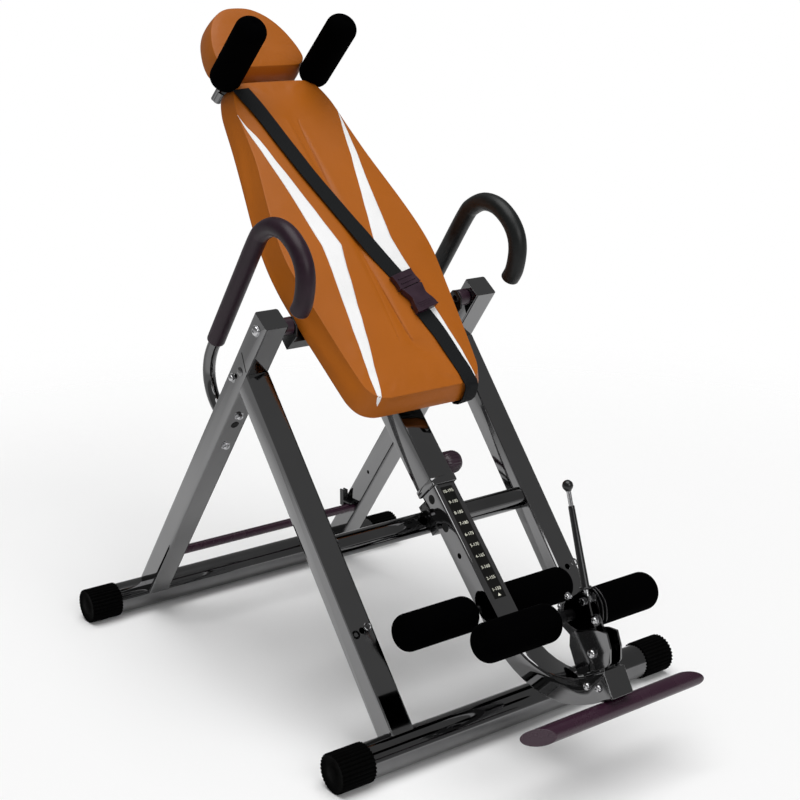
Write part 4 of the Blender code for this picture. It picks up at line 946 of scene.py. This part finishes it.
# ------------------------------------------------- plugs, washers, springs
FRONT = tilt(90 - 38.98, OY + 0.0384, 0.6213)
for side, k in SIDES:
    plug = lathe([(0.0002, 0), (0.0002, 0.0084), (0.0010, 0.0080), (0.0013, 0.0066), (0.0006, 0.0058), (0.0005, 0)], axis="z", steps=40)
    plug.transform(REAR @ Matrix.Translation((k * HANDLE_X, -0.2481, LEG_D / 2)))
    piece("leg_plug_" + side, plug, "base", "hole")
    ring = lathe([(0.0001, 0.0042), (0.0001, 0.0082), (0.0008, 0.0080), (0.0011, 0.0070), (0.0010, 0.0050), (0.0004, 0.0042)],
                 axis="z", steps=40)
    ring.transform(FRONT @ Matrix.Translation((k * LEG_X, -0.5197, LEG_D / 2)))
    piece("leg_washer_" + side, ring, "base", "bed")
    # painted shade: flat dark discs stand in for the shade inside the foot tube's height holes
    for i, at in enumerate((-0.3740, -0.4340)):
        plug = lathe([(0.0000, 0), (0.0000, 0.0092), (0.0002, 0.0088), (0.0003, 0.0074), (0.0002, 0.0064), (0.0002, 0)],
                     axis="z", steps=40)
        plug.transform(BED @ Matrix.Translation((k * 0.0495 / 2, at, INNER_N)) @ Matrix.Rotation(math.radians(90 * k), 4, "Y"))
        piece("height_hole_%s_%d" % (side, i), plug, "foot_tube", "hole")

TO_LEFT = Matrix.Rotation(math.radians(-90), 4, "Y")
ear = lathe([(-0.0137, 0), (-0.0137, 0.0100), (-0.0104, 0.0104), (-0.0104, 0)], (0, -0.5548, 0.2948), steps=40)
piece("clamp_ear", ear, "ankle_clamp", "black", edge=0.0004)
domes = [dome_nut(Matrix.Translation((-0.0138, -0.5548, 0.2948)) @ TO_LEFT, 0.0066, 0.0078),
         dome_nut(Matrix.Translation((-0.0103, -0.4841, 0.3135)) @ TO_LEFT, 0.0056, 0.0066),
         dome_nut(Matrix.Translation((-0.0103, -0.4640, 0.2885)) @ TO_LEFT, 0.0042, 0.0050)]
piece("clamp_domes", merged(*domes), "ankle_clamp", "bright")
flange = lathe([(0.0200, 0.0079), (0.0200, 0.0098), (0.0207, 0.0104), (0.0226, 0.0104), (0.0233, 0.0098), (0.0236, 0.0079)],
               axis="z", steps=40)
piece("lever_flange", flange, "clamp_lever", "plastic", LEVER)
for i, (dx, grow) in enumerate(((0.0130, 0.0), (0.0162, 0.0055))):
    wire = spline([(dx, -0.5030, 0.3290 - grow * 0.2), (dx, -0.5210 - grow * 0.3, 0.3325 + grow * 0.4),
                   (dx, -0.5400 - grow, 0.3160 + grow * 0.5), (dx, -0.5455 - grow, 0.2920), (dx, -0.5440 - grow, 0.2830)], 10)
    piece("clamp_spring_%d" % i, sweep(wire, 0.0011, 12, 0.0008), "ankle_clamp", "black", smooth=70)

# ------------------------------------------------------------------ stage
floor = bpy.data.meshes.new("floor")
floor.from_pydata([(-6, -6, 0), (6, -6, 0), (6, 6, 0), (-6, 6, 0)], [], [(0, 1, 2, 3)])
floor_ob = bpy.data.objects.new("floor", floor)
bpy.context.scene.collection.objects.link(floor_ob)
fm, ft, fb = principled("floor_white", Roughness=0.9, Specular_IOR_Level=0.1)
fb.inputs["Base Color"].default_value = (0.92, 0.92, 0.92, 1)
reach_out = node(ft, "VectorMath", [(0, node(ft, "TexCoord").outputs["Object"])], operation="LENGTH").outputs["Value"]
fade = node(ft, "MapRange", [("Value", reach_out), ("From Min", 1.2), ("From Max", 3.0)],
            interpolation_type="SMOOTHSTEP").outputs["Result"]
clear = node(ft, "BsdfTransparent")
both = node(ft, "MixShader", [("Fac", fade), (1, fb.outputs[0]), (2, clear.outputs[0])])
ft.links.new(both.outputs[0], ft.nodes["Material Output"].inputs["Surface"])
floor.materials.append(fm)

world = bpy.data.worlds.new("studio")
bpy.context.scene.world = world
world.use_nodes = True
wt = world.node_tree
wt.nodes.clear()
wv = node(wt, "TexCoord").outputs["Generated"]
height = node(wt, "SeparateXYZ", [("Vector", wv)]).outputs["Z"]
sky = ramp(wt, span(wt, height, 0.0, 1.0, -1.0, 1.0), (0.0, (0.50, 0.50, 0.50)), (0.49, (0.50, 0.50, 0.50)),
           (0.54, (0.20, 0.20, 0.20)), (0.93, (0.20, 0.20, 0.20)), (1.0, (0.40, 0.40, 0.40)))
seen = node(wt, "LightPath").outputs["Is Camera Ray"]
strength = node(wt, "Background", [("Color", sky), ("Strength", 1.0)])
white = node(wt, "Background", [("Color", (1, 1, 1, 1)), ("Strength", 1.0)])
mixer = node(wt, "MixShader", [("Fac", seen), (1, strength.outputs[0]), (2, white.outputs[0])])
out = wt.nodes.new("ShaderNodeOutputWorld")
wt.links.new(mixer.outputs[0], out.inputs["Surface"])


def sun(name, towards, angle, strength):
    lamp = bpy.data.lights.new(name, "SUN")
    lamp.angle, lamp.energy = math.radians(angle), strength
    ob = bpy.data.objects.new(name, lamp)
    ob.rotation_euler = Vector(towards).to_track_quat("-Z", "Y").to_euler()
    bpy.context.scene.collection.objects.link(ob)


sun("overhead", (0.06, 0.04, -1.0), 55, 2.15)
sun("front", (0.0, 0.85, -0.50), 36, 0.85)

YAW, PITCH, ROLL = (math.radians(v) for v in (-37.2752, -14.9521, -0.0865))
forward = Vector((-math.sin(YAW) * math.cos(PITCH), math.cos(YAW) * math.cos(PITCH), math.sin(PITCH)))
right = Vector((math.cos(YAW), math.sin(YAW), 0))
up = right.cross(forward)
right, up = (math.cos(ROLL) * right + math.sin(ROLL) * up, math.cos(ROLL) * up - math.sin(ROLL) * right)
turn = Matrix((right, up, -forward)).transposed().to_4x4()
turn.translation = Vector((-1.73749, -2.35073 + OY, 1.36103))
lens = bpy.data.cameras.new("camera")
lens.sensor_width, lens.lens = 36, 69.7431
lens.shift_x, lens.shift_y = 0.0024137, -0.0280113
lens.clip_start, lens.clip_end = 0.05, 60
camera = bpy.data.objects.new("camera", lens)
bpy.context.scene.collection.objects.link(camera)
camera.matrix_world = turn
bpy.context.scene.camera = camera
bpy.context.scene.view_settings.view_transform = "Standard"
bpy.context.scene.view_settings.look = "None"
